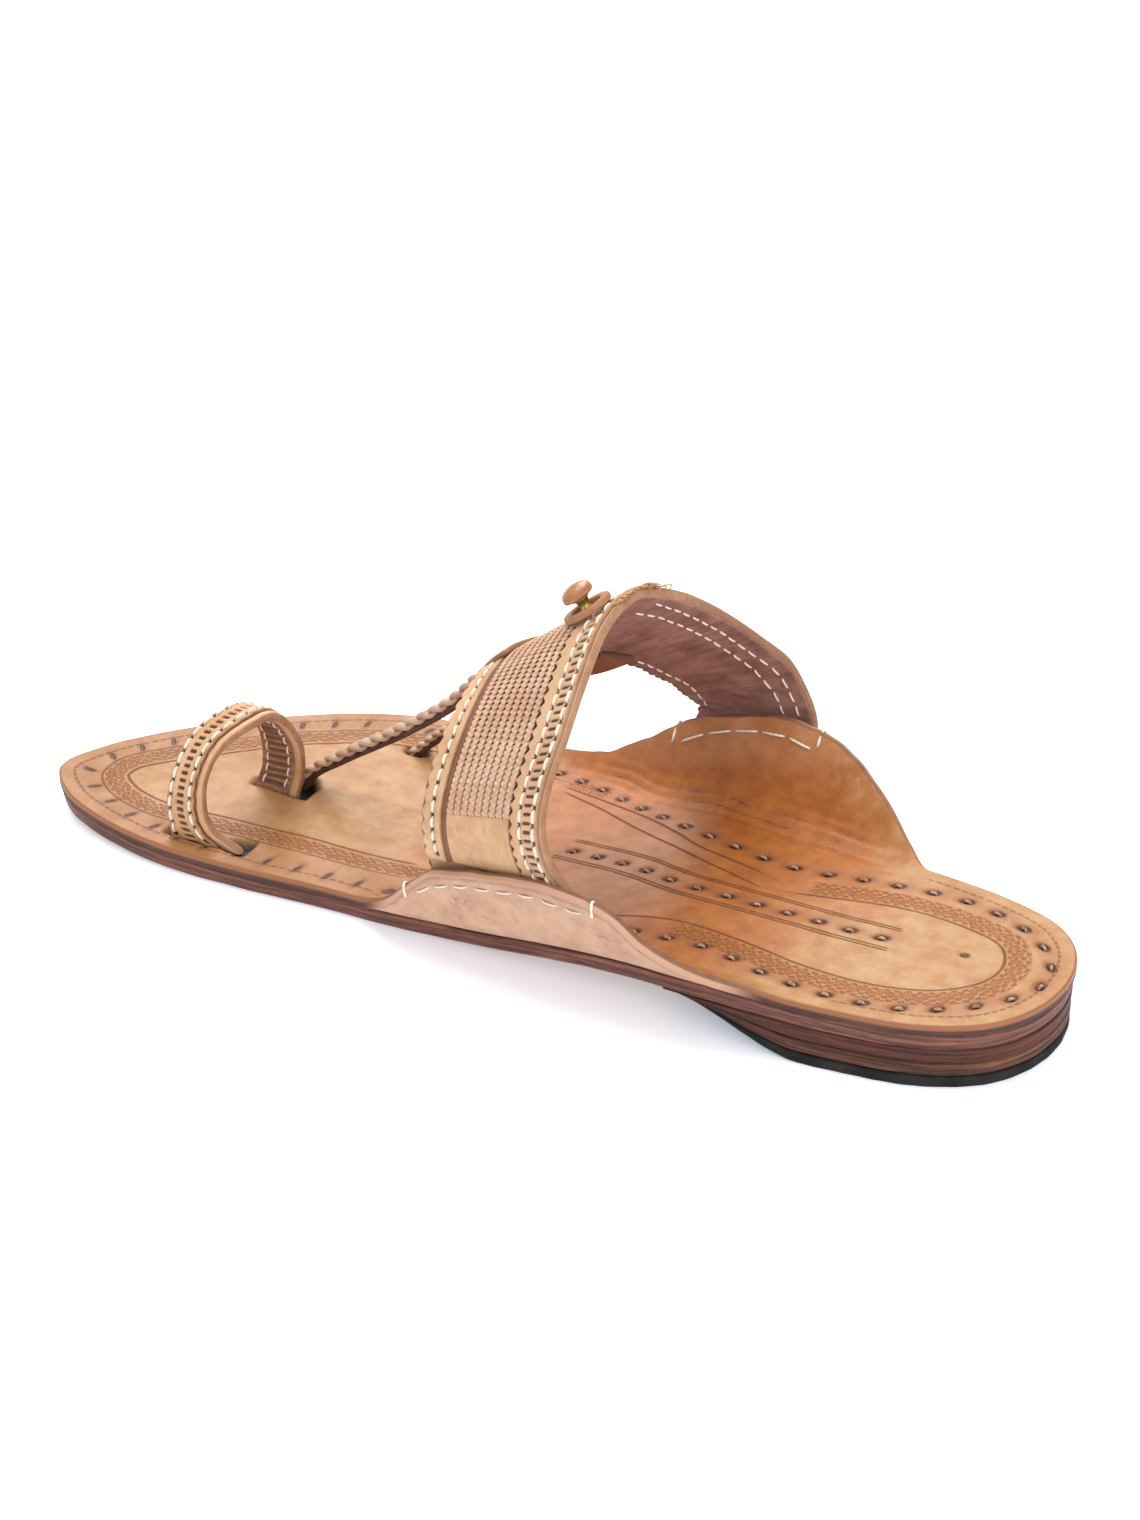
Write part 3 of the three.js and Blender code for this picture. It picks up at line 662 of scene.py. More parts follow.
def slab(shell, y, low, high, set_in_low, set_in_high, wave, seed):
    """A level layer of the sole, closed round the outline between two heights.

    Each station y gives one loop: over the top from the inner to the outer side, down the side,
    and back. The side's inset runs from set_in_low at its foot to
    set_in_high at its top, with both corners rounded. The first and last stations close on the line
    midway between the sides. The field side holds the distance round the edge, the height in the
    layer from 0 to 1, and 1 on the side or 0 on the flats.
    """
    rise, flat = SIDE_RISE, FLAT_SHARE
    corner = CORNER_INSET * np.abs(2 * rise - 1) ** CORNER_POWER
    heights_low, heights_high = low(y), high(y)
    edges = {}
    for side in (-1, 1):
        spot = np.stack([edge_x(side, y), y], axis=-1)
        out = edge_out(side, y)
        run = lengths(spot) * side
        uneven = wave * lumps(run[:, None], rise * 6, EDGE_WAVE_PITCH, seed)
        inset = set_in_low + (set_in_high - set_in_low) * rise + corner + uneven
        xy = spot[:, None] - out[:, None] * inset[..., None]
        z = heights_low[:, None] + (heights_high - heights_low)[:, None] * rise
        edges[side] = (np.concatenate([xy, z[..., None]], axis=-1), np.broadcast_to(run[:, None], z.shape))

    def across(k, share):
        inner, outer = edges[-1][0][:, k], edges[1][0][:, k]
        return inner[:, None] + (outer - inner)[:, None] * share[:, None]

    inner, outer = edges[-1], edges[1]
    top, bottom = across(-1, flat[1:-1]), across(0, flat[1:-1][::-1])
    loop = np.concatenate([top, outer[0][:, ::-1], bottom, inner[0]], axis=1)
    flat_count = len(flat) - 2
    blank = np.zeros((len(y), flat_count))
    run = np.concatenate([blank, outer[1], blank, inner[1]], axis=1)
    tall = np.broadcast_to(rise, outer[1].shape)
    level = np.concatenate([blank + 1, tall[:, ::-1], blank, tall], axis=1)
    face = np.concatenate([blank, 0 * tall + 1, blank, 0 * tall + 1], axis=1)
    told = np.stack([run, level, face], axis=-1)
    middle = ((inner[0] + outer[0]) / 2)[[0, -1]]
    top, bottom = (np.repeat(middle[:, k], flat_count, axis=1) for k in (slice(-1, None), slice(0, 1)))
    caps = np.concatenate([top, middle[:, ::-1], bottom, middle], axis=1)
    rows = np.concatenate([caps[:1], loop, caps[1:]])
    shell.add(rows, side=np.concatenate([told[:1], told, told[-1:]]))
    return shell


def sole_stations(count=300, end=TOE_END):
    """Places along the shoe, closed up towards both ends as 1 - cos does."""
    t = np.linspace(0, 1, count)
    return end * (0.2 * t + 0.8 * (1 - np.cos(np.pi * t)) / 2)


def end_loaded(count, end):
    """Places from the back of the heel, closed up towards it."""
    return end * (1 - np.cos(np.pi / 2 * np.linspace(0, 1, count)))


def sole_leather(name, main, dark, streak, streak_share, seed):
    """Dyed and burnished sole leather: long streaks round the side, rubbed lighter in places, and a
    plain rough underside. The side's streaks are noise drawn out along the edge."""
    f = Finish(name)
    run, level, face = f.told_three("side")
    band = f.streaks(run / 26, level * 4.5, seed, 4, 0.6)
    fine = f.streaks(run / 7, level * 16, seed + 3, 3, 0.7)
    patch = f.noise(11, 3, 0.6)
    shade = f.mix((band * 0.75 + fine * 0.35 - 0.05).step(0.4, 0.62), dark, main)
    start = 0.62 - 0.2 * streak_share
    tan = (f.streaks(run / 38, level * 3.2, seed + 8, 3, 0.6) + patch * 0.25 - 0.12).step(start, start + 0.16)
    shade = f.mix(tan * streak_share, shade, streak)
    flesh = f.mix(f.noise(3.5, 5, 0.7), linear(150, 108, 74), linear(186, 142, 102))
    base = f.mix(face.step(0.3, 0.8), flesh, shade)
    height = fine * 0.55 + band * 0.3 + f.noise(0.5, 4, 0.7) * 0.3
    return f.close(base, 0.5 + fine * 0.25, f.bump(height, 0.14), Specular_IOR_Level=0.28)


def tread_rubber(name):
    """Matt black rubber with a fine grain, dusty in places."""
    f = Finish(name)
    dust = f.noise(8, 5, 0.65)
    base = f.mix(dust.step(0.35, 0.8), linear(24, 24, 23), linear(50, 48, 45))
    height = f.noise(0.6, 4, 0.7) * 0.6 + f.cells(1.2) * 0.4
    return f.close(base, 0.7 + dust * 0.25, f.bump(height, 0.12), Specular_IOR_Level=0.2)


# -------------------------------------------------------------------- insole


def insole_place(x, y, h):
    """A point on the insole from flat coordinates: x across, as if the ears lay flat, y along, and
    height h over the grain side.

    Level between the bends. Within BEND_INSET of the outline and beyond, x is length along the
    leather, which turns up about BEND_RADIUS until it stands at the ear's lean, and then runs on
    straight.
    """
    low, high = edge_x(-1, y), edge_x(1, y)
    inset = np.minimum(BEND_INSET, (high - low) / 4)
    point = np.stack([x, y, top_of_insole(y)], axis=-1)
    normal = np.zeros(point.shape)
    normal[..., 2] = 1
    for side, table, edge in ((-1, INNER_EAR, low), (1, OUTER_EAR, high)):
        lean = np.radians(read_table(table, y)[1])
        start = edge - side * inset
        along = np.clip((x - start) * side, 0, None)
        bent = np.minimum(along, BEND_RADIUS * lean)
        turn = bent / BEND_RADIUS
        reach = BEND_RADIUS * np.sin(turn) + (along - bent) * np.cos(turn)
        rise = BEND_RADIUS * (1 - np.cos(turn)) + (along - bent) * np.sin(turn)
        on = along > 0
        point[..., 0] = np.where(on, start + side * reach, point[..., 0])
        point[..., 2] = point[..., 2] + np.where(on, rise, 0)
        normal[..., 0] = np.where(on, -side * np.sin(turn), normal[..., 0])
        normal[..., 2] = np.where(on, np.cos(turn), normal[..., 2])
    return point + normal * np.asarray(h)[..., None]


def insole_limits(y):
    """The flat x of the insole's inner and outer edges, ears included, with the ears' cut a little uneven."""
    low = edge_x(-1, y) - read_table(INNER_EAR, y)[0]
    high = edge_x(1, y) + read_table(OUTER_EAR, y)[0]
    cut = ease(58, 72, y) * (1 - ease(150, 168, y))
    return low + 0.35 * cut * lumps(y, 0 * y, 7, 5), high + 0.45 * cut * lumps(y, 0 * y, 8, 6)


def flat_edge():
    """The insole's unrolled edge as a closed line."""
    y = sole_stations(900)
    low, high = insole_limits(y)
    return np.concatenate([np.stack([low, y], -1), np.stack([high, y], -1)[::-1]])


def edge_distance(x, y):
    """Distance to the unrolled edge, and how far round it the nearest point lies."""
    line = flat_edge()
    run = lengths(line)
    flat = np.stack([np.ravel(x), np.ravel(y)], axis=-1)
    index = closest(flat, line)
    gap = flat - line[index]
    way = ways(line)[index]
    straight = np.abs(way[:, 0] * gap[:, 1] - way[:, 1] * gap[:, 0])
    return straight.reshape(np.shape(x)), (run[index] + (gap * way).sum(-1)).reshape(np.shape(x))


def hole_mask(run, off, pitch, half_long, half_wide, slant):
    """1 in ovals that repeat every pitch along a line, leaning by slant."""
    cell = (run / pitch + 0.5) % 1 * pitch - pitch / 2
    leaning = cell - slant * off
    return 1 - ease(0.55, 1.25, np.hypot(leaning / half_long, off / half_wide))


def slot_mask(x, y):
    """1 over the two slots for the toe ring's legs, which are wider at their rear, and the thongs' holes."""
    total, narrow = 0, 1.9
    for middle, low, high in RING_SLOTS:
        half = narrow + narrow * (1 - ease(low, low + 9, y))
        inside = 1 - ease(half - 0.3, half + 0.5, np.abs(x - middle - 0.5 * (half - narrow)))
        total = total + inside * ease(low - 1, low + 0.8, y) * (1 - ease(high - 0.8, high + 1, y))
    for hx, hy, rx, ry in THONG_HOLES:
        total = total + 1 - ease(0.7, 1.15, np.hypot((x - hx) / rx, (y - hy) / ry))
    return np.clip(total, 0, 1)


def bend_folds(x, y):
    """Fine folds where the ears turn up: waves along y, strongest at the bend and fading with distance."""
    total = 0
    for side, table, strength in ((1, OUTER_EAR, 1.0), (-1, INNER_EAR, 0.55)):
        leaf = read_table(table, y)[0]
        bend = edge_x(side, y) - side * 0.5
        off = (x - bend) * side + 1.2 * lumps(y, 0 * y, 26, 11)
        reach = np.exp(-((off / 4.5) ** 2)) * ease(2, 10, leaf)
        wave = np.sin(off * 2.2 + 1.3 * lumps(y, x, 18, 12))
        total = total + strength * reach * wave * (0.6 + 0.4 * lumps(y, x, 9, 13))
    return total


def insole_stations(close=6):
    """Places along the insole: closer and closer in its last 6 mm at both ends, 0.9 mm apart between."""
    end = close * np.linspace(0, 1, 15) ** 2
    return np.concatenate([end, np.linspace(close, TOE_END - close, 302)[1:-1], TOE_END - end[::-1]])


def insole_shell():
    """The top sole: level middle, two ears, rounded cut edges, pressed stitch holes, folds and slots."""
    y = insole_stations()
    low, high = insole_limits(y)
    wide = 110
    side = np.array([0, 0.1, 0.3, 0.65, 1.1]) / wide
    share = np.concatenate([side, np.linspace(1.9, wide - 1.9, 126) / wide, 1 - side[::-1]])
    x = low[:, None] + (high - low)[:, None] * share
    y = np.broadcast_to(y[:, None], x.shape)
    rim, edge_run = edge_distance(x, y)
    rows = {"holes": nearest_on(HOLE_ROW, x, y, closed=True, samples=1500)}
    rows.update({name: nearest_on(curve, x, y) for name, curve in TOOLED_ROWS.items()})
    run, off, total = rows["holes"]
    pitch = total / round(total / HOLE_PITCH)
    fore = ease(FORE_START, FORE_FULL, y)
    ovals = hole_mask(run, off, pitch, *OVAL) * (1 - fore)
    slits = hole_mask(run, off, pitch, *SLIT) * fore
    mid_run, mid_off, mid_length = rows["centre"]
    middle = hole_mask(mid_run + 3, mid_off, CENTRE_PITCH, *CENTRE_OVAL) * (mid_run > 2)
    nail = 1 - ease(0.6, 1.5, np.hypot(x - NAIL_HOLE[0], (y - NAIL_HOLE[1]) * 0.8))
    slots = slot_mask(x, y)
    pressed = np.maximum.reduce([ovals, 0.45 * slits, middle, nail])
    soft = 0.22 * lumps(x, y, 38, 21) + 0.06 * lumps(x, y, 11, 22)
    folds = bend_folds(x, y)
    top = 0.42 * folds - 0.6 * pressed - 2.1 * slots + soft * ease(0.5, 6, rim)
    top = rounded(top, rim, 0.55)
    bottom = np.minimum(back_lift(rim, 0.35, True) - INSOLE_THICK, top - 0.5)
    told = {name: (np.stack([r, o, 0 * r], -1),) * 2 for name, (r, o, _) in rows.items()}
    told["flat"] = (np.stack([x, y, rim], -1),) * 2
    told["rim"] = (np.stack([edge_run, rim, slots], -1),) * 2
    told["under"] = (0.0, 1.0)
    told["folds"] = (folds, 0.0)
    shell = strap(Shell(), insole_place, x, y, top, bottom, **told)
    return shell, pitch, mid_length


def stamped(f, run, off, first, last, pitch):
    """Rows of stamped scales between two distances from a line: ridges of crossed waves in staggered
    cells, as a dark mask of 0 to 1."""
    inside = off.within(first, last, 0.35)
    wobble = f.noise(2.2, 2, 0.6) * 1.4
    turn = run / pitch * 6.283
    cell = (turn + wobble).sine()
    row = (off / (last - first) * 18.85 + (run / pitch * 3.1416).sine() * 1.2 + wobble).sine()
    scales = (cell * row).step(-0.15, 0.55)
    arcs = ((turn + off * 2.1 + wobble).sine() * 0.5 + (turn - off * 2.1).sine() * 0.5).step(0.1, 0.7)
    return (scales * 0.85 + arcs * 0.6) * inside * (0.5 + 0.5 * f.noise(1.6, 3, 0.7).step(0.25, 0.55))


def tooled_leather(name, pitch, mid_length):
    """Vegetable tanned leather with its tooling: dark lines and stamped strips at set distances from
    the rows that the mesh carries, burnt round the stitch holes, with a dark burnished edge."""
    f = Finish(name)
    x, y, _ = f.told_three("flat")
    edge_run, rim, slots = f.told_three("rim")
    under = f.told("under")
    hole_run, hole_off, _ = f.told_three("holes")
    mid_run, mid_off, _ = f.told_three("centre")
    heel_run, heel_off, _ = f.told_three("heel_band")
    fore_run, fore_off, _ = f.told_three("fore_band")
    waist_run, waist_off, _ = f.told_three("waist")
    inner_run, inner_off, _ = f.told_three("waist_inner")

    def line(off, at, width, mask):
        uneven = f.noise(1.3, 2, 0.6) * 0.6 + 0.7
        return off.near(at, width * 1.25) * mask * uneven

    def holes(run, off, step, half_long, half_wide, slant, shift=0.0):
        cell = (run / step + (0.5 + shift / step)).maths("FRACT") * step - step / 2
        leaning = cell - off * slant
        return ((leaning / half_long) ** 2 + (off / half_wide) ** 2).maths("SQRT")

    fore = y.step(FORE_START, FORE_FULL)
    flat_part = 1 - under
    oval = holes(hole_run, hole_off, pitch, *OVAL)
    slit = holes(hole_run, hole_off, pitch, *SLIT_LINE)
    middle_oval = holes(mid_run, mid_off, CENTRE_PITCH, *CENTRE_OVAL, 3.0)
    mid_on = mid_run.within(2.2, mid_length - 1.0, 0.6)
    pits = (1 - oval.step(0.55, 1.15)) * (1 - fore) + (1 - slit.step(0.45, 1.1)) * fore * 0.95
    pits = pits + (1 - middle_oval.step(0.55, 1.15)) * mid_on
    nail = ((x - NAIL_HOLE[0]) ** 2 + ((y - NAIL_HOLE[1]) * 0.8) ** 2).maths("SQRT")
    pits = (pits + (1 - nail.step(0.5, 1.3))).clamp()

    ear_free = 1 - y.within(46, 166, 3)
    heel_on = heel_run.within(30, 260, 3) * (1 - x.step(-2, 2) * y.step(68.5, 71.5))
    fore_on = fore_run.step(1, 6)
    lines = line(rim, 4.1, 0.42, ear_free) * (edge_run * 2.6).sine().step(-1.4, 0.2) * 0.6
    for off, at, width, mask in (
        (mid_off, 4.3, 0.3, mid_on), (mid_off, 5.2, 0.28, mid_on),
        (mid_off, -3.7, 0.3, mid_on), (mid_off, -4.7, 0.32, mid_on),
        (heel_off, 0.0, 0.4, heel_run.step(2, 10)),
        (waist_off, 0.0, 0.4, waist_run.within(3, 78, 3)),
        (inner_off, 0.0, 0.38, inner_run.within(3, 80, 3)),
        (fore_off, 0.0, 0.35, fore_on * 0.7), (fore_off, -6.9, 0.45, fore_on),
    ):
        lines = lines + line(off, at, width, mask)

    scales = stamped(f, heel_run, heel_off * -1, 0.9, 6.2, 2.5) * heel_on
    scales = scales + stamped(f, fore_run, fore_off * -1, 0.8, 5.6, 2.9) * 1.2
    scales = scales + stamped(f, waist_run, waist_off, 0.8, 4.4, 2.8) * waist_run.within(2, 15, 1.5)
    lines, scales = lines.clamp() * flat_part, scales.clamp() * flat_part
    marks = (lines * 0.9 + scales * 0.7).clamp()

    cloud = f.noise(26, 4, 0.55)
    mottle = f.noise(5.5, 5, 0.6)
    fibre = f.streaks(x / 3.2, y / 11)
    pale = f.mix(mottle.step(0.3, 0.75), linear(170, 130, 80), linear(156, 106, 56))
    warm = f.mix(mottle.step(0.25, 0.8), linear(176, 102, 34), linear(148, 78, 24))
    heat = (cloud * 0.7 + y.within(62, 172, 26) * 0.44 + mottle * 0.2 - 0.17).step(0.3, 0.72)
    base = f.mix(heat * 0.9, pale, warm)
    base = f.mix(fibre.step(0.38, 0.72) * 0.42, base, linear(138, 80, 36))
    burnt = hole_off.near(0, 4.6) * (0.55 + 0.45 * f.noise(9, 2).step(0.3, 0.7))
    burnt = burnt + mid_off.near(0, 3.6) * mid_on * 0.6
    burnt = burnt + heel_off.near(-3.2, 4.2) * heel_on * 0.55 + fore_off.near(-3.0, 5.0) * 0.6
    tint = (heel_off.within(-6.4, -0.6, 0.5) * heel_on + fore_off.within(-6.2, -0.6, 0.6)).clamp()
    base = f.mix(tint * 0.68 * flat_part, base, linear(158, 98, 34))
    base = f.mix(burnt.clamp() * 0.72 * flat_part, base, linear(150, 84, 30))
    toe_border = fore * (1 - rim.step(10, 16))
    base = f.mix(toe_border * (0.4 + 0.5 * mottle) * flat_part, base, linear(140, 88, 38))
    # Pale pinkish patches over the forefoot: a painted sheen.
    base = f.mix(fore * f.noise(15, 3).step(0.42, 0.75) * 0.5, base, linear(176, 128, 98))
    ears = (x.step(46, 56) * y.within(60, 140, 12) + (1 - x.step(-46, -38)) * y.within(70, 160, 8)).clamp()
    ear_tone = f.mix(f.noise(14, 4, 0.6).step(0.35, 0.7), linear(156, 98, 56), linear(184, 128, 86))
    base = f.mix(ears * 0.8, base, ear_tone)
    # Darker in the valleys of the folds where the ears bend up: painted shade in the creases.
    crease = (0 - f.told("folds")).step(0.12, 0.75) * f.noise(3.0, 3, 0.6).step(0.3, 0.6)
    base = f.mix(crease * 0.85, base, linear(84, 46, 26))
    # A pale patch on the rear of the outer ear: a painted sheen.
    painted_ear_sheen = x.within(47, 62, 4) * y.within(52, 76, 8) * f.noise(4.0, 4, 0.7).step(0.42, 0.66)
    base = f.mix(painted_ear_sheen * 0.5, base, linear(206, 168, 140))
    base = f.mix(scales * 0.62, base, linear(104, 54, 22))
    base = f.mix(lines * 0.86, base, linear(92, 44, 20))
    halo = (1 - oval.step(0.8, 2.3)) * (1 - fore) + (1 - middle_oval.step(0.8, 2.2)) * mid_on
    halo = (halo + (1 - slit.step(0.8, 2.6)) * fore).clamp()
    base = f.mix(halo * 0.5 * flat_part, base, linear(104, 56, 34))
    # Near black in the stitch holes, toe slits, centre row and nail hole, and in the slots for the ring's
    # legs and the thongs: painted shade in these hollows.
    base = f.mix(pits * flat_part * 0.95, base, linear(44, 26, 22))
    base = f.mix((slots * flat_part).clamp(), base, linear(22, 13, 9))

    flesh = f.mix(f.noise(7, 5, 0.65).step(0.3, 0.75), linear(190, 154, 128), linear(170, 128, 104))
    smudge = f.noise(9, 4, 0.7).step(0.5, 0.66) * f.noise(1.4, 3, 0.75).step(0.4, 0.66)
    flesh = f.mix(smudge * 0.75, flesh, linear(148, 94, 80))
    worn_rim = 1 - (rim + f.noise(3, 3, 0.6) * 2 - 1).step(0.4, 2.2)
    flesh = f.mix(worn_rim * 0.6, flesh, linear(122, 78, 56))
    flesh = f.mix(f.streaks(x / 1.1, y / 7, 4.0, 3, 0.7).step(0.5, 0.8) * 0.3, flesh, linear(190, 138, 108))
    base = f.mix(under.step(0.2, 0.9), base, flesh)

    streak = f.streaks(edge_run / 16, under * 3, 2.0).step(0.35, 0.7)
    dark_side = f.mix(streak, linear(50, 30, 24), linear(92, 50, 36))
    burnished = f.mix(under.step(0.12, 0.6), linear(140, 86, 50), dark_side)
    raw = f.mix(f.noise(4, 4, 0.6), linear(92, 58, 42), linear(140, 96, 66))
    raw = f.mix(under.step(0.25, 0.5), raw, linear(180, 140, 114))
    side = f.mix(y.within(66, 168, 6), burnished, raw)
    base = f.mix(1 - (rim + f.noise(1.5, 3, 0.6) * 0.5 - 0.25).step(0.25, 0.95), base, side)

    pressed = marks * 0.7 + pits * 0.5 * flat_part
    wrinkle = f.streaks(x / 1.6, y / 12, 1.0, 4, 0.6) * ears
    relief = f.bump(1 - pressed, 0.5)
    skin = f.bump(grain(f) + fibre * 0.5 + wrinkle * 1.4, 0.085, relief)
    rough = 0.40 + mottle * 0.16 + under * 0.3 + marks * 0.15
    return f.close(base, rough, skin, Specular_IOR_Level=0.42)


# ---------------------------------------------------------------------- band


def band_surface(row, across):
    """The band's outer surface: straight across from its rear edge's curve to its front edge's."""
    share = np.clip(row, 0, LAST_ROW) / LAST_ROW
    rear, front = catmull(BAND[:, :3], share), catmull(BAND[:, 3:], share)
    return rear + (front - rear) * across[..., None]


PROBE = 0.02


def band_step(row, across):
    """The way across the band at a place, from its rear edge to its front edge."""
    return band_surface(row, across + PROBE) - band_surface(row, across - PROBE)


def band_normal(row, across):
    arch = band_surface(row + PROBE, across) - band_surface(row - PROBE, across)
    return unit(np.cross(arch, band_step(row, across)))


def band_place(row, across, out):
    """A point at height out over the band's surface."""
    row, across, out = (np.asarray(a, float) for a in np.broadcast_arrays(row, across, out))
    return band_surface(row, across) + band_normal(row, across) * out[..., None]


def band_width(row):
    ends = np.zeros(np.shape(row)), np.ones(np.shape(row))
    return np.linalg.norm(band_surface(row, ends[1]) - band_surface(row, ends[0]), axis=-1)


class Arch:
    """Distances along the band's arch at one share of its width."""

    SAMPLES = 1601

    def __init__(self, across):
        self.rows = np.linspace(0, LAST_ROW, self.SAMPLES)
        self.runs = lengths(band_surface(self.rows, np.full(self.SAMPLES, float(across))))

    def row(self, run):
        return np.interp(run, self.runs, self.rows)

    def run(self, row):
        return np.interp(row, self.rows, self.runs)

    def places(self, rows, step):
        """Rows about step mm apart, closer at both ends, and how far along each is."""
        first, last = self.run(rows[0]), self.run(rows[1])
        run = first + (last - first) * near_edges(last - first, step=step)
        return run, self.row(run)


def no_dents(run, cross, edge):
    return 0 * run


LEAST_THICK = 0.12


def band_strap(shell, rows, low, high, bottom, top, radius=0.5, dents=no_dents, depth=0.5, step=0.6,
               fine=0.6, round_back=False):
    """A strip of leather on the band between two shares of its width, which may vary with the distance
    along it. Its edges are rounded, and dents(run, cross, edge) presses it in by up to depth."""
    arch = Arch((np.mean(low(np.zeros(1))) + np.mean(high(np.zeros(1)))) / 2)
    run, row = arch.places(rows, step)
    low, high = low(run)[:, None], high(run)[:, None]
    wide = (high - low) * band_width(row)[:, None]
    share = near_edges(wide.mean(), step=fine)
    across = low + (high - low) * share
    cross = share * wide
    ends = np.minimum(run - run[0], run[-1] - run)[:, None]
    edge = np.minimum(np.minimum(cross, wide - cross), ends)
    run = np.broadcast_to(run[:, None], across.shape)
    mask = np.clip(dents(run, cross, edge), 0, 1)
    over = rounded(top, edge, radius) - depth * mask
    under = np.minimum(bottom + back_lift(edge, radius, round_back), over - LEAST_THICK)
    lay = np.stack([run, cross, edge], axis=-1)
    back = np.stack([run, cross, 0 * edge], axis=-1)
    rows = row[:, None] + 0 * across
    strap(shell, band_place, rows, across, over, under, lay=(lay, back), pit=(mask, 0.0))
    return shell


def level(value):
    """An edge that keeps one share of the band's width."""
    return lambda run: np.full(np.shape(run), float(value))


def toothed(value, depth, pitch):
    """An edge cut into pointed teeth: a triangle wave about value."""
    return lambda run: value + depth * (np.abs((run / pitch) % 1 * 2 - 1) - 0.5)


def scalloped(value, depth, pitch):
    """An edge cut into round scallops: the absolute value of a sine."""
    return lambda run: value + depth * (np.abs(np.sin(np.pi * run / pitch)) - 0.6)


def ragged(value, depth, seed):
    """A torn edge: unevenness with notches that open towards the far side."""
    def edge(run):
        notch = np.clip(lumps(run, 0 * run, 6, seed) - 0.15, 0, 1) * 2.2
        tooth = np.abs((run / 3.1 + 0.3 * lumps(run, 0 * run, 5, seed + 2)) % 1 * 2 - 1) - 0.5
        return value - depth * (0.5 * notch + 0.35 * lumps(run, 0 * run, 2.5, seed + 1) + 0.45 * tooth)
    return edge


def needle_holes(run, cross, at, pitch, length, size=0.42):
    """1 in the small round holes at both ends of every stitch of a row."""
    cell = (run + pitch / 2) % pitch - pitch / 2
    other = (run - length + pitch / 2) % pitch - pitch / 2
    near = np.minimum(np.hypot(cell, cross - at), np.hypot(other, cross - at))
    return 1 - ease(size * 0.7, size * 1.5, near)


def ladder(run, cross, low, high, pitch, share=0.42):
    """1 in the slots between the rungs of a ladder: bars across the strip, every pitch."""
    cell = np.abs((run / pitch) % 1 - 0.5) * 2
    rung = ease(1 - share - 0.2, 1 - share + 0.2, cell)
    return rung * ease(low - 0.25, low + 0.25, cross) * (1 - ease(high - 0.25, high + 0.25, cross))


SEWING_WOBBLE = 0.0035


def sew_on_band(shell, arch, rows, across, out, pitch, length, radius, seed, facing=1, rise=0.28):
    """A row of running stitches along the band, at whole numbers of pitches from the arch's start."""
    first = np.ceil(arch.run(rows[0]) / pitch) * pitch
    start = np.arange(first, arch.run(rows[1]) - length, pitch)
    wobble = np.random.default_rng(seed).uniform(-SEWING_WOBBLE, SEWING_WOBBLE, (2, len(start)))
    row_a, row_b = arch.row(start), arch.row(start + length)
    a = band_place(row_a, across(row_a) + wobble[0], out)
    b = band_place(row_b, across(row_b) + wobble[1], out)
    normal = band_normal((row_a + row_b) / 2, across(row_a)) * facing
    stitches(shell, a, b, normal, radius=radius, rise=rise, sink=0.55)


STRIP_BASE, STRIP_TOP = 0.3, 1.35
STITCH_PITCH, STITCH_LENGTH = 4.0, 3.1
FRONT_PITCH, FRONT_LENGTH = 3.7, 2.9
LADDER_PITCH = 2.0
REAR_EDGE = -0.006
# Both strips' rear edges, as shares of the band's width, and how far inside
# them the rows of thread lie.
REAR_STRIP, FRONT_STRIP = 0.012, 0.815
REAR_ROWS, FRONT_ROW = (1.25, 5.05), 2.6
WHOLE_BAND = (0.0, 16.0)
TRIM_ROWS = (1.3, 15.45)
REAR_LADDER = (2.1, 4.2, LADDER_PITCH)
PANEL_ROWS = ((1.35, BRAID_ROWS[0] + 0.02), (BRAID_ROWS[1] - 0.02, 15.5))
BRAID_SHARES, BRAID_PERIOD = (0.245, 0.774), 4.4
LINING_TOP, LINING_BOTTOM = 2.1, 0.9


def band_base_shell():
    """The band's outer leather, from inside the inner ear over the foot to inside the outer ear."""
    return band_strap(Shell(), WHOLE_BAND, level(0.0), ragged(0.985, 0.012, 31), -1.0, 0.32, radius=0.35,
                      step=1.0, fine=1.2, round_back=True)


def band_lining_shell():
    """The soft lining, creased low on the outer side, with a ragged front edge. It lies under the
    band's surface, so its heights are depths."""
    def creases(run, cross, edge):
        low_side = ease(118, 150, run)
        wave = np.sin(run * 1.1 + cross * 0.35 + 2.4 * lumps(run, cross, 14, 41)) * 0.5 + 0.5
        return (0.25 + 0.75 * low_side) * wave * (0.5 + 0.5 * lumps(run, cross, 9, 42)) * 0.9

    def lining_place(row, across, out):
        return band_place(row, across, -out)

    shell = Shell()
    run, row = Arch(0.5).places(WHOLE_BAND, 0.55)
    low = np.full(len(run), 0.004)[:, None]
    high = ragged(1.025, 0.036, 43)(run)[:, None]
    wide = (high - low) * band_width(row)[:, None]
    share = near_edges(wide.mean(), step=0.9)
    across, cross = low + (high - low) * share, share * wide
    run = np.broadcast_to(run[:, None], across.shape)
    ends = np.minimum(run - run[0], run[-1] - run)
    edge = np.minimum(np.minimum(cross, wide - cross), ends)
    mask = creases(run, cross, edge)
    over = rounded(LINING_TOP, edge, 0.4) - 0.3 * mask * ease(0, 2, edge)
    lay = np.stack([run, cross, edge], axis=-1)
    rows = row[:, None] + 0 * across
    strap(shell, lining_place, rows, across, over, LINING_BOTTOM, lay=(lay, lay), pit=(mask * 0.3, 0.0))
    return shell


def rear_border_shell():
    """The rolled border that binds the band's rear edge: a thick strip with round sides."""
    return band_strap(Shell(), (0.25, 15.9), level(REAR_EDGE), level(0.024), -1.85, 0.45, radius=0.5,
                      step=0.8, fine=0.25, round_back=True)


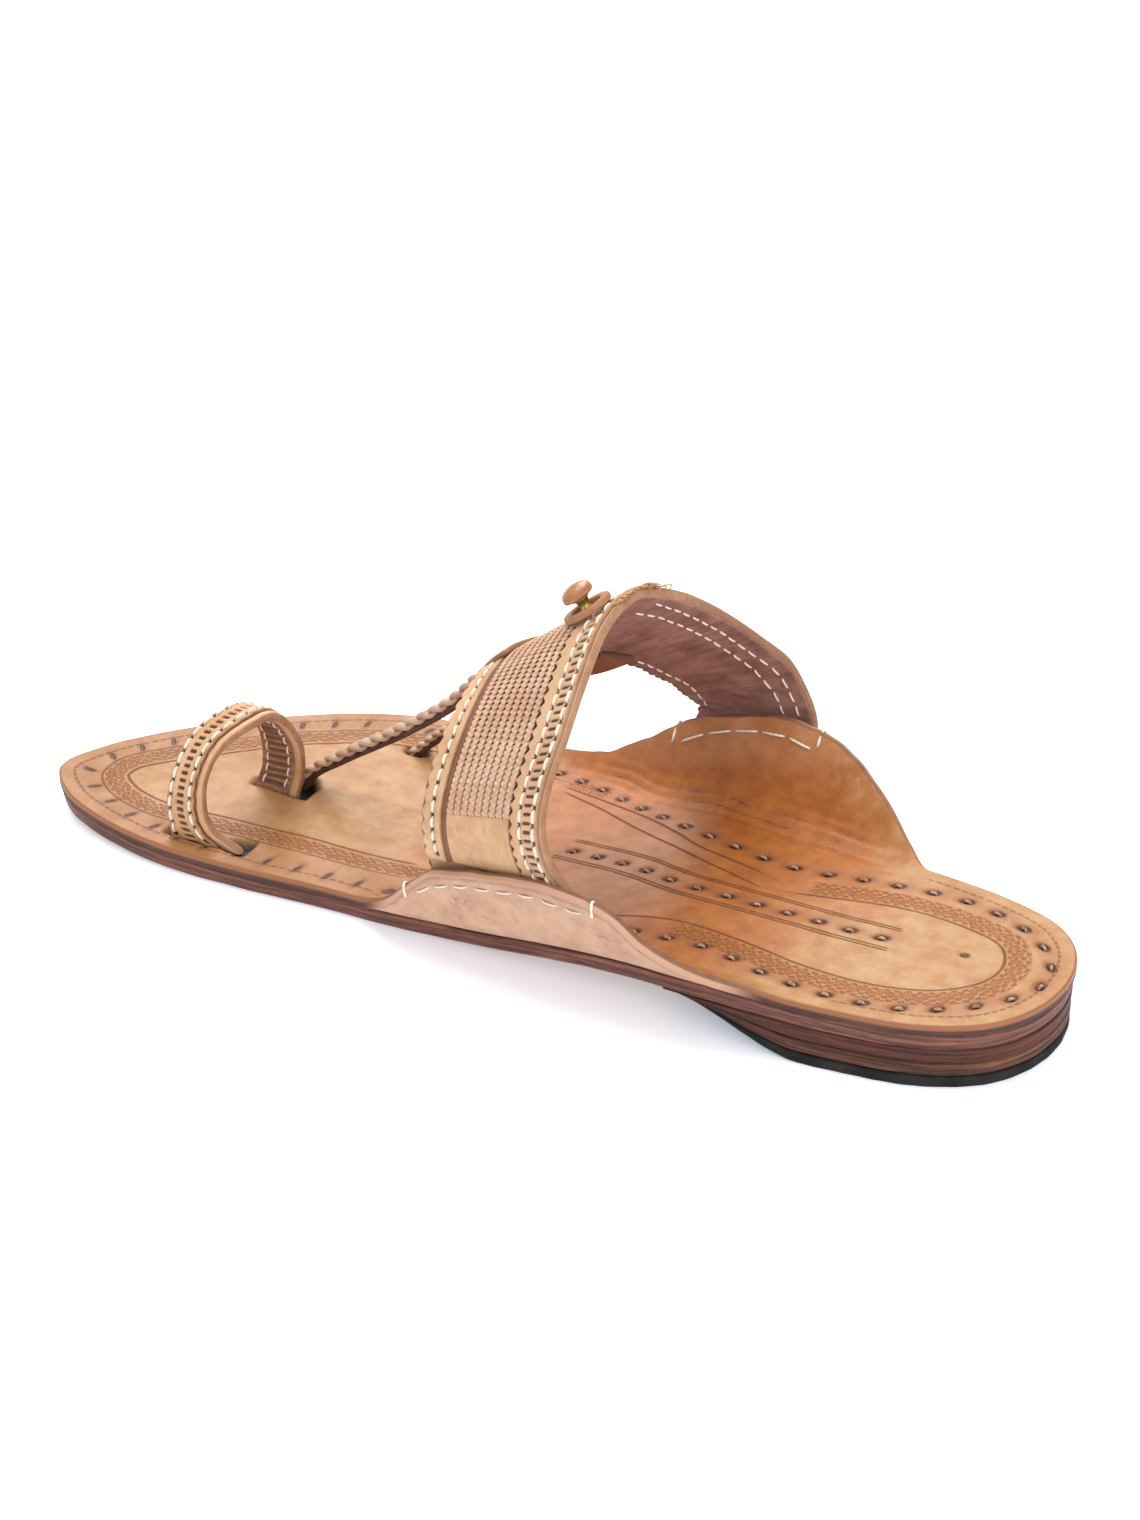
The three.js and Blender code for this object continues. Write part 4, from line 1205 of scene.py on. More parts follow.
def rear_strip_shell():
    """The strip along the rear edge: two rows of needle holes, a ladder of slots between, and teeth."""
    def dents(run, cross, edge):
        holes = [needle_holes(run, cross, at, STITCH_PITCH, STITCH_LENGTH) for at in REAR_ROWS]
        return np.maximum.reduce([*holes, 0.9 * ladder(run, cross, *REAR_LADDER)])

    teeth = toothed(0.236, 0.028, 3.0)
    return band_strap(Shell(), TRIM_ROWS, level(REAR_STRIP), teeth, STRIP_BASE, STRIP_TOP, radius=0.4,
                      dents=dents, depth=0.55, step=0.3, fine=0.3)


def front_strip_shell():
    """The strip along the front edge: plain leather, one row of needle holes and a scalloped edge."""
    def dents(run, cross, edge):
        return needle_holes(run, cross, FRONT_ROW, FRONT_PITCH, FRONT_LENGTH, 0.5)

    scallops = scalloped(0.974, 0.026, 4.0)
    return band_strap(Shell(), TRIM_ROWS, level(FRONT_STRIP), scallops, STRIP_BASE, STRIP_TOP, radius=0.45,
                      dents=dents, depth=0.5, step=0.35, fine=0.35)


def backing_shell():
    """A dark sheet under the braids, painted as the shade that shows between them and in the gaps beside the
    strips.
    """
    rows = (BRAID_ROWS[0] - 0.1, BRAID_ROWS[1] + 0.15)
    return band_strap(Shell(), rows, level(0.238), level(0.81), 0.25, 0.62, radius=0.15, step=0.8, fine=0.9)


def plain_panel_shell():
    """The plain smooth leather at both feet of the braid panel, with a cut edge towards the braids."""
    shell = Shell()
    for rows in PANEL_ROWS:
        band_strap(shell, rows, level(0.244), level(0.778), 0.28, 1.2, radius=0.4, step=0.6, fine=0.8)
    return shell


def braid_strands(shell, line, side, lift, period, swing, wide, high, dive, per_period):
    """Three flat strands plaited along a line. Each swings sideways as sin(a) and passes over and under
    as sin(2a), where a is the turn along the period plus a third of a turn for each strand."""
    run = lengths(line)
    count = int(run[-1] / period * per_period)
    at = np.linspace(0, run[-1], count)
    centre, across, up = (at_run(at, run, what) for what in (line, side, lift))
    across, up = unit(across), unit(up)
    for k in range(3):
        turn = 2 * np.pi * (at / period + k / 3)
        sway = (swing * np.sin(turn))[:, None]
        ride = (dive * np.sin(2 * turn))[:, None]
        points = centre + across * sway + up * ride
        way = ways(points)
        flat_side = unit(np.cross(up, way))
        flat_lift = unit(np.cross(way, flat_side))
        strand = np.full(count, float(k))
        tubes(shell, points, flat_side, flat_lift, wide, high, sides=7, run=at, strand=strand)


def band_braids_shell(count):
    """Rows of fine three-strand braid side by side across the panel."""
    shell = Shell()
    edges = np.linspace(*BRAID_SHARES, count + 1)
    rows = np.linspace(*BRAID_ROWS, 500)
    for low, high in zip(edges[:-1], edges[1:]):
        shares = np.full(len(rows), (low + high) / 2)
        line = band_place(rows, shares, 1.02)
        up = band_normal(rows, shares)
        side = unit(band_step(rows, shares))
        pitch = (high - low) * BAND_WIDE
        braid_strands(shell, line, side, up, BRAID_PERIOD, pitch * 0.2, pitch * 0.225, 0.3, 0.26, 13)
    return shell


def groove_shell():
    """The brown flat edge between the braids and the front strip, rounded over like a cord."""
    return band_strap(Shell(), TRIM_ROWS, level(0.773), level(0.82), 0.2, 1.1, radius=0.7, step=0.7, fine=0.4)


FIBRE_SEED, FIBRE_ROWS, FIBRE_COUNT = 91, (7.35, 8.5), 22


def raw_fibre_shell():
    """Torn fibres of raw leather along the rear edge at the crest: short strands that wave as sines."""
    shell = Shell()
    rng = np.random.default_rng(FIBRE_SEED)
    t = np.linspace(0, 1, 16)
    for start in np.linspace(*FIBRE_ROWS, FIBRE_COUNT):
        length, across, phase, thick = rng.uniform((0.12, -0.03, 0, 0.2), (0.34, 0.03, 6.28, 0.42))
        out = 0.45 + 0.5 * np.sin(np.pi * t) + 0.25 * np.sin(9 * t + phase)
        line = band_place(start + length * t, across + 0.02 * np.sin(11 * t + phase) - 0.012 * t, out)
        way = ways(line)
        side = unit(np.cross(way, np.broadcast_to((0.2, 0.9, 0.4), way.shape)))
        taper = thick * (0.35 + 0.65 * np.sin(np.pi * t) ** 0.5)
        tubes(shell, line, side, unit(np.cross(way, side)), taper, taper * 0.7, sides=6, run=t)
    return shell


# (row, share across) of the threads that show on the lining
LINING_ROWS = (
    [(8.5, 0.21), (9.6, 0.25), (10.8, 0.275), (12, 0.275), (13.3, 0.27), (14.2, 0.235), (15, 0.235)],
    [(8.4, 0.06), (9.3, 0.11), (10.4, 0.13), (11.7, 0.14), (12.8, 0.13), (13.7, 0.11), (15.2, 0.105)],
    [(9.2, 0.81), (9.9, 0.88), (11.1, 0.92), (12.1, 0.91), (13, 0.9), (13.9, 0.88), (15, 0.92)],
)


def band_stitch_shell(radius):
    """The thread on the band: two rows on the rear strip, one on the front strip, three on the lining."""
    shell = Shell()
    rear_middle, front_middle, lining_middle = Arch(0.124), Arch(0.8945), Arch(0.4)
    sewn = STRIP_TOP - 0.1
    for cross in REAR_ROWS:
        across = lambda row, c=cross: REAR_STRIP + c / band_width(row)
        sew_on_band(shell, rear_middle, TRIM_ROWS, across, sewn, STITCH_PITCH, STITCH_LENGTH, radius, seed=50)
    across = lambda row: FRONT_STRIP + FRONT_ROW / band_width(row)
    sew_on_band(shell, front_middle, TRIM_ROWS, across, sewn, FRONT_PITCH, FRONT_LENGTH, radius, seed=52)
    for n, table in enumerate(LINING_ROWS):
        across = lambda row, t=table: read_table(t, row)[0]
        ends = (table[0][0], table[-1][0])
        sew_on_band(shell, lining_middle, ends, across, 0.05 - LINING_TOP, 4.2, 3.5, radius * 0.7,
                    seed=53 + n, facing=-1, rise=0.14)
    return shell


# ------------------------------------------------------------------ toe ring


def ring_place(angle, across, out):
    """A point over the toe ring: x as cos and z as sin of the angle, and y between its two edges."""
    angle, across, out = (np.asarray(a, float) for a in np.broadcast_arrays(angle, across, out))
    turn = np.radians(angle)
    rear, front = read_table(RING, angle)
    x = RING_MIDDLE - (RING_HALF_WIDTH + out) * np.cos(turn)
    z = RING_ARCH[0] + (RING_ARCH[1] + out) * np.sin(turn)
    return np.stack([x, rear + (front - rear) * across, z], axis=-1)


# Rows across the ring are placed in mm from its rear edge where it is RING_GAUGE wide.
RING_GAUGE, RING_PITCH, RING_STITCH = 10.6, 4.0, 3.3
RING_SPAN = (-23.5, 203.5)
RING_ROWS, RING_LINING_ROWS = (3.7, 9.55), (3.3, 8.8)


def ring_runs():
    """Distances round the ring's middle at a fine set of angles."""
    angles = np.linspace(*RING_SPAN, 900)
    return angles, lengths(ring_place(angles, 0.6, 1.0))


def ring_strap(shell, span, low, high, bottom, top, radius, dents=no_dents, depth=0.5, step=0.7,
               fine=0.7, facing=1, round_back=False):
    """A strip of leather round the ring between two shares of its width, with rounded edges."""
    angles, runs = ring_runs()
    first, last = np.interp(span, angles, runs)
    run = first + (last - first) * near_edges(last - first, step=step)
    angle = np.interp(run, runs, angles)
    rear, front = read_table(RING, angle)
    low, high = low(run)[:, None], high(run)[:, None]
    wide = (high - low) * (front - rear)[:, None]
    share = near_edges(wide.mean(), margin=(0, 0.1, 0.25, 0.5, 0.8), step=fine)
    across = low + (high - low) * share
    inside = share * wide
    ends = np.minimum(run - run[0], run[-1] - run)[:, None]
    edge = np.minimum(np.minimum(inside, wide - inside), ends)
    run = run[:, None] + 0 * across
    cross = across * RING_GAUGE
    mask = np.clip(dents(run, cross, edge), 0, 1)
    over = rounded(top, edge, radius) - depth * mask
    under = np.minimum(bottom + back_lift(edge, radius, round_back), over - LEAST_THICK)
    lay = np.stack([run, cross, edge], axis=-1)

    def place(a, c, out):
        return ring_place(a, c, out * facing)

    angles = angle[:, None] + 0 * across
    strap(shell, place, angles, across, over, under, lay=(lay, lay), pit=(mask, 0.0))
    return shell


def ring_cover_dents(run, cross, edge):
    holes = [needle_holes(run, cross, at, RING_PITCH, RING_STITCH, 0.5) for at in RING_ROWS]
    return np.maximum.reduce([*holes, 0.95 * ladder(run, cross, 5.6, 7.6, 2.0, 0.5)])


def toe_ring_shell():
    """The ring's own leather with its rolled rear edge."""
    shell = Shell()
    ring_strap(shell, RING_SPAN, level(0.04), level(0.985), -0.55, 0.25, 0.3,
               step=1.0, fine=1.2, round_back=True)
    ring_strap(shell, (-23, 203), level(0.0), level(0.215), -1.8, 0.95, 1.05,
               step=0.8, fine=0.35, round_back=True)
    return shell


def ring_lining_shell():
    """The creased lining inside the ring: waves along it, deepest between the two rows of thread."""
    def creases(run, cross, edge):
        wave = np.sin(run * 2.6 + 1.6 * lumps(run, cross, 7, 61)) * 0.5 + 0.5
        between = ease(2.6, 4.4, cross) * (1 - ease(7.6, 9.4, cross))
        return wave * (0.35 + 0.65 * between) * ease(0, 1.5, edge)

    return ring_strap(Shell(), (-21, 201), level(0.14), level(0.985), 0.5, 1.78, 0.4,
                      dents=creases, depth=0.5, step=0.4, fine=0.6, facing=-1)


def ring_cover_shell():
    """The outer strip of the ring: two rows of needle holes with a ladder of short slots between, and
    a wavy cut edge beside the roll."""
    wavy = lambda run: 0.232 + 0.014 * np.sin(2 * np.pi * run / RING_PITCH)
    return ring_strap(Shell(), (-20, 200), wavy, level(0.995), 0.28, 1.42, 0.4,
                      dents=ring_cover_dents, depth=0.62, step=0.26, fine=0.3)


def ring_stitch_shell(radius):
    """The thread round the ring: two rows outside and two on the lining."""
    shell = Shell()
    angles, runs = ring_runs()
    rows = [(cross, 1.36, 1, radius * 0.95) for cross in RING_ROWS]
    rows += [(cross, -1.76, -1, radius * 0.7) for cross in RING_LINING_ROWS]
    start = np.arange(np.ceil(runs[14] / RING_PITCH) * RING_PITCH, runs[-14] - RING_STITCH, RING_PITCH)
    for cross, out, facing, thick in rows:
        ends = [ring_place(np.interp(at, runs, angles), cross / RING_GAUGE, out)
                for at in (start, start + RING_STITCH)]
        turn = np.radians(np.interp(start + RING_STITCH / 2, runs, angles))
        normal = np.stack([-np.cos(turn), 0 * turn, np.sin(turn)], axis=-1) * facing
        stitches(shell, *ends, normal, radius=thick, rise=0.3, sink=0.6)
    return shell


# --------------------------------------------------------------------- thongs


def thong_ways(path, count):
    """A thong's middle line, and its level and upright ways."""
    line = catmull(path, np.linspace(0, 1, count))
    way = ways(line)
    side = unit(np.cross(way, np.broadcast_to((0.0, 0.0, 1.0), way.shape)))
    return line, side, unit(np.cross(side, way))


def thong_shell(path, wide, period):
    """A flat three-strand braid along a path."""
    shell = Shell()
    line, side, up = thong_ways(path, 400)
    swing, half_wide, half_high, dive = (wide * share for share in (0.5, 0.47, 0.27, 0.24))
    braid_strands(shell, line + up * 0.3, side, up, period, swing, half_wide, half_high, dive, 22)
    return shell


def thong_strip_shell(path, wide):
    """The dark strip under a thong: a flat rounded bar along its path."""
    shell = Shell()
    line, side, up = thong_ways(path, 200)
    told = {"run": lengths(line), "strand": np.zeros(len(line))}
    tubes(shell, line - up * wide * 0.5, side, up, wide * 0.72, wide * 0.3, sides=12, **told)
    return shell


TAB_GAUGE = 42


def tab_shell(row, half_rows, rear, front, base, thick, droop=0.0):
    """A flat tab of leather on or under the band whose round end points to the toe: its half width
    falls as sqrt(1 - 0.9 t^4), and it droops as t squared."""
    length = (front - rear) * TAB_GAUGE
    t = near_edges(length, step=0.5)
    share = near_edges(half_rows * 2 * ROW_APART, step=0.5)
    half = half_rows * np.sqrt(1 - 0.9 * t**4)
    rows = row + half[:, None] * (2 * share - 1)
    across = rear + (front - rear) * t[:, None] + 0 * rows
    wide = half[:, None] * 2 * ROW_APART
    cross = share * wide
    edge = np.minimum(np.minimum(cross, wide - cross), np.minimum(t, 1 - t)[:, None] * length)
    fall = droop * t[:, None] ** 2
    lay = np.stack([t[:, None] * length + 0 * cross, cross, edge], axis=-1)
    shell = Shell()
    over, under = rounded(base + thick, edge, 0.5) - fall, base - fall + 0 * edge
    strap(shell, band_place, rows, across, over, under, lay=(lay, lay), pit=(0.0, 0.0))
    return shell


# ----------------------------------------------------------------------- stud

STUD_SEAT = 1.8
STEM_RADIUS, STEM_HEIGHT, STEM_WAIST = 2.0, 3.8, 0.78
HEAD_RADIUS, HEAD_HEIGHT = 4.1, 3.4
LOOP_LENGTH, LOOP_WIDTH, LOOP_THICK, LOOP_EYE, LOOP_STRETCH = 13.5, 11, 1.7, 3.2, 1.35


def stud_axes():
    """Where the stud stands on the band, its upright, and two directions on the band."""
    row, across = np.array(STUD_ROW), np.array(STUD_ACROSS)
    up = band_normal(row, across)
    foot = band_place(row, across, 0.0)
    along = unit(band_step(row, across))
    side = unit(np.cross(along, up))
    return foot, up, side, np.cross(up, side)


def turned(shell, profile, turns=48):
    """A profile of (radius, height) turned about the stud's upright."""
    foot, up, side, along = stud_axes()
    radius, height = np.array(profile, float).T
    around = np.linspace(0, 2 * np.pi, turns, endpoint=False)
    level_way = np.cos(around)[:, None] * side + np.sin(around)[:, None] * along
    grid = foot + height[:, None, None] * up + radius[:, None, None] * level_way
    told = np.broadcast_arrays(radius[:, None], height[:, None], around)
    shell.add(grid, ring=np.stack(told, -1))
    return shell


def stud_stem_shell():
    """The brass stem: a waisted spool with small flanges, its radius a parabola of the height."""
    t = np.linspace(0, 1, 24)
    waist = STEM_RADIUS * (STEM_WAIST + (1 - STEM_WAIST) * (2 * t - 1) ** 2)
    flange = [(0, 0), (2.4, 0), (2.5, 0.12), (2.45, 0.35), (2.0, 0.5)]
    body = [(w, 0.5 + h * (STEM_HEIGHT - 0.8)) for w, h in zip(waist * 0.94, t)]
    top = [(2.2, STEM_HEIGHT - 0.25), (2.35, STEM_HEIGHT - 0.12), (2.3, STEM_HEIGHT), (0, STEM_HEIGHT)]
    shell = turned(Shell(), [(r, h + STUD_SEAT) for r, h in [*flange, *body, *top]])
    return shell


def stud_head_shell():
    """The leather button: a flat dome whose height is a quarter ellipse, over a turned-under rim."""
    base = STUD_SEAT + STEM_HEIGHT + 0.3
    rim = HEAD_HEIGHT * 0.35
    under = [(0, 0), (0.55, 0), (0.86, 0.04), (0.95, 0.2), (0.99, 0.45)]
    bead = [(1, 0.75), (0.985, 1.0), (0.955, rim), (0.965, rim + 0.12)]
    turn = np.linspace(0.08, np.pi / 2, 22)[:-1]
    foot = rim + 0.1
    dome = [(0.975 * np.cos(a) ** 0.92, foot + (HEAD_HEIGHT - foot) * np.sin(a)) for a in turn]
    profile = [*under, *bead, *dome, (0, HEAD_HEIGHT)]
    shell = turned(Shell(), [(r * HEAD_RADIUS, h + base) for r, h in profile], turns=56)
    return shell


def stud_loop_shell():
    """The thick leather loop buttoned over the stud: a flat oval ring whose section is a rounded
    rectangle, a cosine and a sine raised to a power under one."""
    foot, up, side, along = stud_axes()
    around = np.linspace(0, 2 * np.pi, 121)
    profile = np.linspace(0, 2 * np.pi, 32, endpoint=False)
    square = lambda a: np.sign(a) * np.abs(a) ** 0.45
    outer = np.stack([np.cos(around) * LOOP_WIDTH / 2, np.sin(around) * LOOP_LENGTH / 2], -1)
    eye = np.stack([np.cos(around) * LOOP_EYE, np.sin(around) * LOOP_EYE * LOOP_STRETCH], -1)
    middle, half = (outer + eye) / 2, (outer - eye) / 2
    flat = middle[:, None] + half[:, None] * square(np.cos(profile))[None, :, None]
    height = STUD_SEAT + LOOP_THICK / 2 * (1 + square(np.sin(profile)))[None] + 0 * flat[..., 0]
    grid = foot + flat[..., :1] * side + flat[..., 1:] * along + height[..., None] * up
    shell = Shell()
    lay = np.stack(np.broadcast_arrays(around[:, None] * 6, 3 * np.sin(profile), 2.0), -1)
    shell.add(grid, lay=lay, pit=np.zeros(height.shape))
    return shell


# ----------------------------------------------------------------- ear stitches


def running_stitches(shell, flat_line, facing, pitch, length, radius, depth):
    """Thread along a line on the insole's flat coordinates, on its grain side (1) or its flesh side (-1)."""
    line = catmull(flat_line, np.linspace(0, 1, 600))
    run = lengths(line)
    start = np.arange(0.4, run[-1] - length, pitch)
    spots = [at_run(at, run, line) for at in (start, start + length)]
    ends = [insole_place(s[:, 0], s[:, 1], np.full(len(s), depth)) for s in spots]
    lifted = insole_place(spots[0][:, 0], spots[0][:, 1], np.full(len(start), depth + facing))
    stitches(shell, *ends, unit(lifted - ends[0]), radius=radius, rise=0.35, sink=0.6)
    return shell


def edge_loop(shell, x, y, side, radius, reach):
    """A thread that wraps over an ear's cut edge, from the flesh side to the grain side."""
    t = np.linspace(0, 1, 15)
    over = np.sin(np.pi * t)
    flat_x = x + side * reach * over ** 0.7
    height = -INSOLE_THICK - 0.35 + (INSOLE_THICK + 0.7) * t
    line = insole_place(flat_x, np.full(15, float(y)) + 0.8 * t, height)
    way = ways(line)
    across = unit(np.cross(way, np.array([0.0, 1.0, 0.0])))
    tubes(shell, line, across, unit(np.cross(way, across)), radius, radius, sides=7, run=t)
    return shell


# y and how far inside the cut edge, of the coarse stitches on each ear; and y and
# reach of the loops over the edges
INNER_SEWING = ((103, 3.2), (110, 3.9), (119, 3.4), (128, 3.9), (137, 3.4), (146, 3.8), (153, 3.2))
OUTER_SEWING = ((85, 5.2), (91, 4.6), (100, 4.2), (109, 4.0), (117, 4.6), (124.5, 5.6))
INNER_LOOPS, OUTER_LOOPS = ((100.5, 2.9), (156, 2.9)), ((83, 4.4), (126, 5.6))


def ear_edge(side, y):
    """The flat x of an ear's cut edge."""
    return edge_x(side, y) + side * read_table(INNER_EAR if side < 0 else OUTER_EAR, y)[0]


def ear_stitch_shell(radius):
    """The coarse stitches that close the sole's ears on the band: a row below each ear's edge and a
    loop over it at each end."""
    shell = Shell()
    inner = [(ear_edge(-1, y) + inset, y) for y, inset in INNER_SEWING]
    outer = [(ear_edge(1, y) - inset, y) for y, inset in OUTER_SEWING]
    running_stitches(shell, np.array(inner), -1, 6.6, 5.4, radius * 0.42, -INSOLE_THICK - 0.02)
    running_stitches(shell, np.array(outer), 1, 8.0, 7.3, radius * 0.52, 0.1)
    for side, loops, thick in ((-1, INNER_LOOPS, 0.6), (1, OUTER_LOOPS, 0.55)):
        for y, reach in loops:
            edge_loop(shell, ear_edge(side, y) - side * (reach - 0.7), y, side, radius * thick, reach)
    return shell


LACES_END, LACE_SINK = 170, -0.25


def hole_lace_shell():
    """Short leather laces that show in the insole's stitch holes, one along each hole."""
    shell = Shell()
    for curve, closed, pitch, first in ((HOLE_ROW, True, None, 0), (CENTRE_ROW, False, CENTRE_PITCH, 5.2)):
        line = catmull(curve, np.linspace(0, 1, OUTLINE_SAMPLES), closed)
        run = lengths(line)
        step = pitch or run[-1] / round(run[-1] / HOLE_PITCH)
        at = np.arange(first, run[-1] - 1, step)
        spot, tangent = at_run(at, run, line), at_run(at, run, ways(line))
        keep = spot[:, 1] < LACES_END
        spot, tangent = spot[keep], tangent[keep]
        ends = [insole_place(*(spot + s * tangent).T, np.full(len(spot), LACE_SINK)) for s in (-1, 1)]
        normal = np.broadcast_to((0.0, 0.0, 1.0), ends[0].shape)
        stitches(shell, *ends, normal, radius=0.42, rise=0.12, sink=0.35, rings=7)
    return shell


# ------------------------------------------------------------------ finishes


def strap_leather(name, pale, warm, deep, rough=0.5, smudge=0.4, far=0.0):
    """Smooth strap leather: cloudy dye, fine grain, darker burnished cut edges and dark pits, which are
    painted shade in the holes and slots; far paints shade over the outer side.
    """
    f = Finish(name)
    run, cross, edge = f.told_three("lay")
    pit = f.told("pit")
    cloud = f.noise(16, 4, 0.55)
    mottle = f.noise(3.2, 5, 0.65)
    fibre = f.streaks(run / 2.4, cross / 1.1)
    base = f.mix((cloud * 0.65 + mottle * 0.35).step(0.34, 0.68), pale, warm)
    base = f.mix(fibre.step(0.45, 0.85) * 0.3, base, deep)
    spots = f.noise(8, 3, 0.6).step(0.5, 0.7) * f.noise(1.2, 3, 0.75).step(0.46, 0.7)
    base = f.mix(spots * smudge, base, deep)
    if far:
        # far darkens the leather towards the sandal's outer side: painted shade.
        far_side_shade = f.split(f.place())[0].step(0, 26)
        base = f.mix(far_side_shade * far * (0.6 + 0.4 * mottle), base, linear(120, 78, 58))
    base = f.mix((1 - edge.step(0.1, 0.55)) * (0.42 + 0.45 * mottle), base, deep)
    # Dark brown in the needle holes and ladder slots, near black at their deepest: painted shade in these
    # hollows.
    base = f.mix(pit.step(0.15, 0.8) * 0.92, base, linear(72, 40, 26))
    base = f.mix(pit.step(0.955, 0.99), base, linear(20, 14, 12))
    height = grain(f) * 0.7 + fibre * 0.3
    return f.close(base, rough + mottle * 0.16, f.bump(height, 0.07), Specular_IOR_Level=0.4)


def braid_leather(name, pale, warm, dark):
    """Fine leather lace: each strand a little different, in pale and warm patches with dark flecks."""
    f = Finish(name)
    run, strand = f.told("run"), f.told("strand")
    tone = f.streaks(run / 5, strand * 7.3, 0.0, 3, 0.6)
    patch = f.noise(11, 3, 0.6)
    base = f.mix((tone * 0.6 + patch * 0.4).step(0.32, 0.7), pale, warm)
    fleck = f.noise(0.55, 4, 0.75)
    base = f.mix(fleck.step(0.5, 0.78) * 0.55, base, dark)
    height = fleck * 0.6 + f.noise(0.25, 2, 0.6) * 0.4
    return f.close(base, 0.56 + fleck * 0.25, f.bump(height, 0.1), Specular_IOR_Level=0.35)


def lining_leather(name, pale, dark):
    """Soft worn lining: reddish brown with pale rubbed creases, and painted shade where the creases press in.
    """
    f = Finish(name)
    run, cross, _ = f.told_three("lay")
    pit = f.told("pit")
    crease = f.streaks(run / 2.2, cross / 9, warp=0.6)
    cloud = f.noise(9, 5, 0.65)
    base = f.mix((cloud * 0.6 + crease * 0.4).step(0.3, 0.7), dark, pale)
    # Darker where the creases press in: painted shade in their valleys.
    base = f.mix(pit * 1.6, base, dark)
    height = crease * 0.7 + f.noise(0.8, 4, 0.7) * 0.3
    return f.close(base, 0.62 + cloud * 0.2, f.bump(height, 0.22), Specular_IOR_Level=0.3)


def waxed_thread(name, colour):
    """Twisted thread: fine slanting ridges from a sine along its run, soiled in places."""
    f = Finish(name)
    run = f.told("run")
    dirt = f.noise(2.4, 4, 0.7)
    twist = (run * 34.0 + f.noise(0.5, 2) * 2).sine() * 0.5 + 0.5
    base = f.mix(dirt.step(0.48, 0.8) * 0.45, colour, linear(168, 138, 108))
    # Darker in the grooves between the twist's ridges: painted shade.
    base = f.mix((1 - twist) * 0.22, base, linear(150, 120, 96))
    return f.close(base, 0.68 + dirt * 0.15, f.bump(twist * 0.7 + dirt * 0.3, 0.1), Specular_IOR_Level=0.3)


def old_brass(name, colour):
    """Brass with dull patches and fine turning marks."""
    f = Finish(name)
    patch = f.noise(1.6, 5, 0.65)
    marks = f.noise(0.16, 3, 0.6)
    base = f.mix(patch.step(0.35, 0.75), colour, linear(150, 122, 62))
    return f.close(base, 0.2 + patch * 0.25, f.bump(marks, 0.02), Metallic=1.0)


def button_leather(name, pale, deep):
    """Polished tan leather on the button, darker round its turned-under rim."""
    f = Finish(name)
    radius, _, _ = f.told_three("ring")
    cloud = f.noise(3.2, 4, 0.6)
    base = f.mix(cloud.step(0.3, 0.75), pale, deep)
    rim = radius.near(HEAD_RADIUS * 0.965, 0.22)
    base = f.mix(rim * 0.55, base, linear(138, 78, 40))
    skin = f.bump(grain(f), 0.05)
    return f.close(base, 0.3 + cloud * 0.16, skin, Coat_Weight=0.2, Coat_Roughness=0.25)


def raw_lace(name, pale, dark):
    """A scrap of raw leather lace."""
    f = Finish(name)
    fleck = f.noise(0.9, 4, 0.7)
    return f.close(f.mix(fleck.step(0.3, 0.7), dark, pale), 0.7 + fleck * 0.2, f.bump(fleck, 0.12))


def strap_dye(name, colours, tint=1.0, rough=0.5, far=0.0):
    """Strap leather in the settings' dyes, lightened by tint; far paints shade over the outer side."""
    pale = tuple(c * tint for c in colours.strap_pale)
    warm = tuple(c * tint for c in colours.strap_warm)
    return strap_leather(name, pale, warm, linear(118, 72, 48), rough, far=far)


def pale_floor(name):
    """Matt white floor with the faintest unevenness."""
    f = Finish(name)
    cloud = f.noise(400, 2, 0.5)
    white = f.mix(cloud, (0.93, 0.935, 0.945), (0.96, 0.962, 0.968))
    glow = {"Emission_Color": (0.8, 0.86, 1.0, 1), "Emission_Strength": 0.3}
    return f.close(white, 0.75, Specular_IOR_Level=0.1, **glow)


# ------------------------------------------------------------------ settings


def length_setting(name, description, default):
    return FloatProperty(name=name, description=description, default=default, unit="LENGTH", min=0)


def colour_setting(name, description, *shade):
    told = {"name": name, "description": description, "default": linear(*shade)}
    return FloatVectorProperty(subtype="COLOR", min=0, max=1, **told)


class SandalSizes(bpy.types.PropertyGroup):
    """Sizes that change the trim and not the sandal's fit."""

    thread: length_setting("Thread radius", "Half the thickness of the white thread", 0.00037)
    ear_thread: length_setting("Ear thread radius", "Half the thickness of the ears' thread", 0.0006)
    braids: IntProperty(name="Braid rows", description="Rows of braid on the band", default=9, min=3, max=12)


class SandalColours(bpy.types.PropertyGroup):
    """The dyes of the leathers and the other finishes."""

    strap_pale: colour_setting("Strap, pale", "The band's leather where it is palest", 198, 160, 124)
    strap_warm: colour_setting("Strap, warm", "The band's leather where it is warmest", 178, 134, 94)
    braid_pale: colour_setting("Braid, pale", "The braid where it is rubbed", 204, 172, 146)
    braid_warm: colour_setting("Braid, warm", "The braid between its rubbed places", 176, 132, 102)
    lining: colour_setting("Lining", "The lining's rubbed colour", 160, 118, 106)
    thread: colour_setting("Thread", "The thread's clean colour", 228, 219, 203)
    brass: colour_setting("Brass", "The stud's metal", 206, 184, 116)
    button: colour_setting("Button", "The button's leather", 172, 118, 72)


# ------------------------------------------------------------------ operators


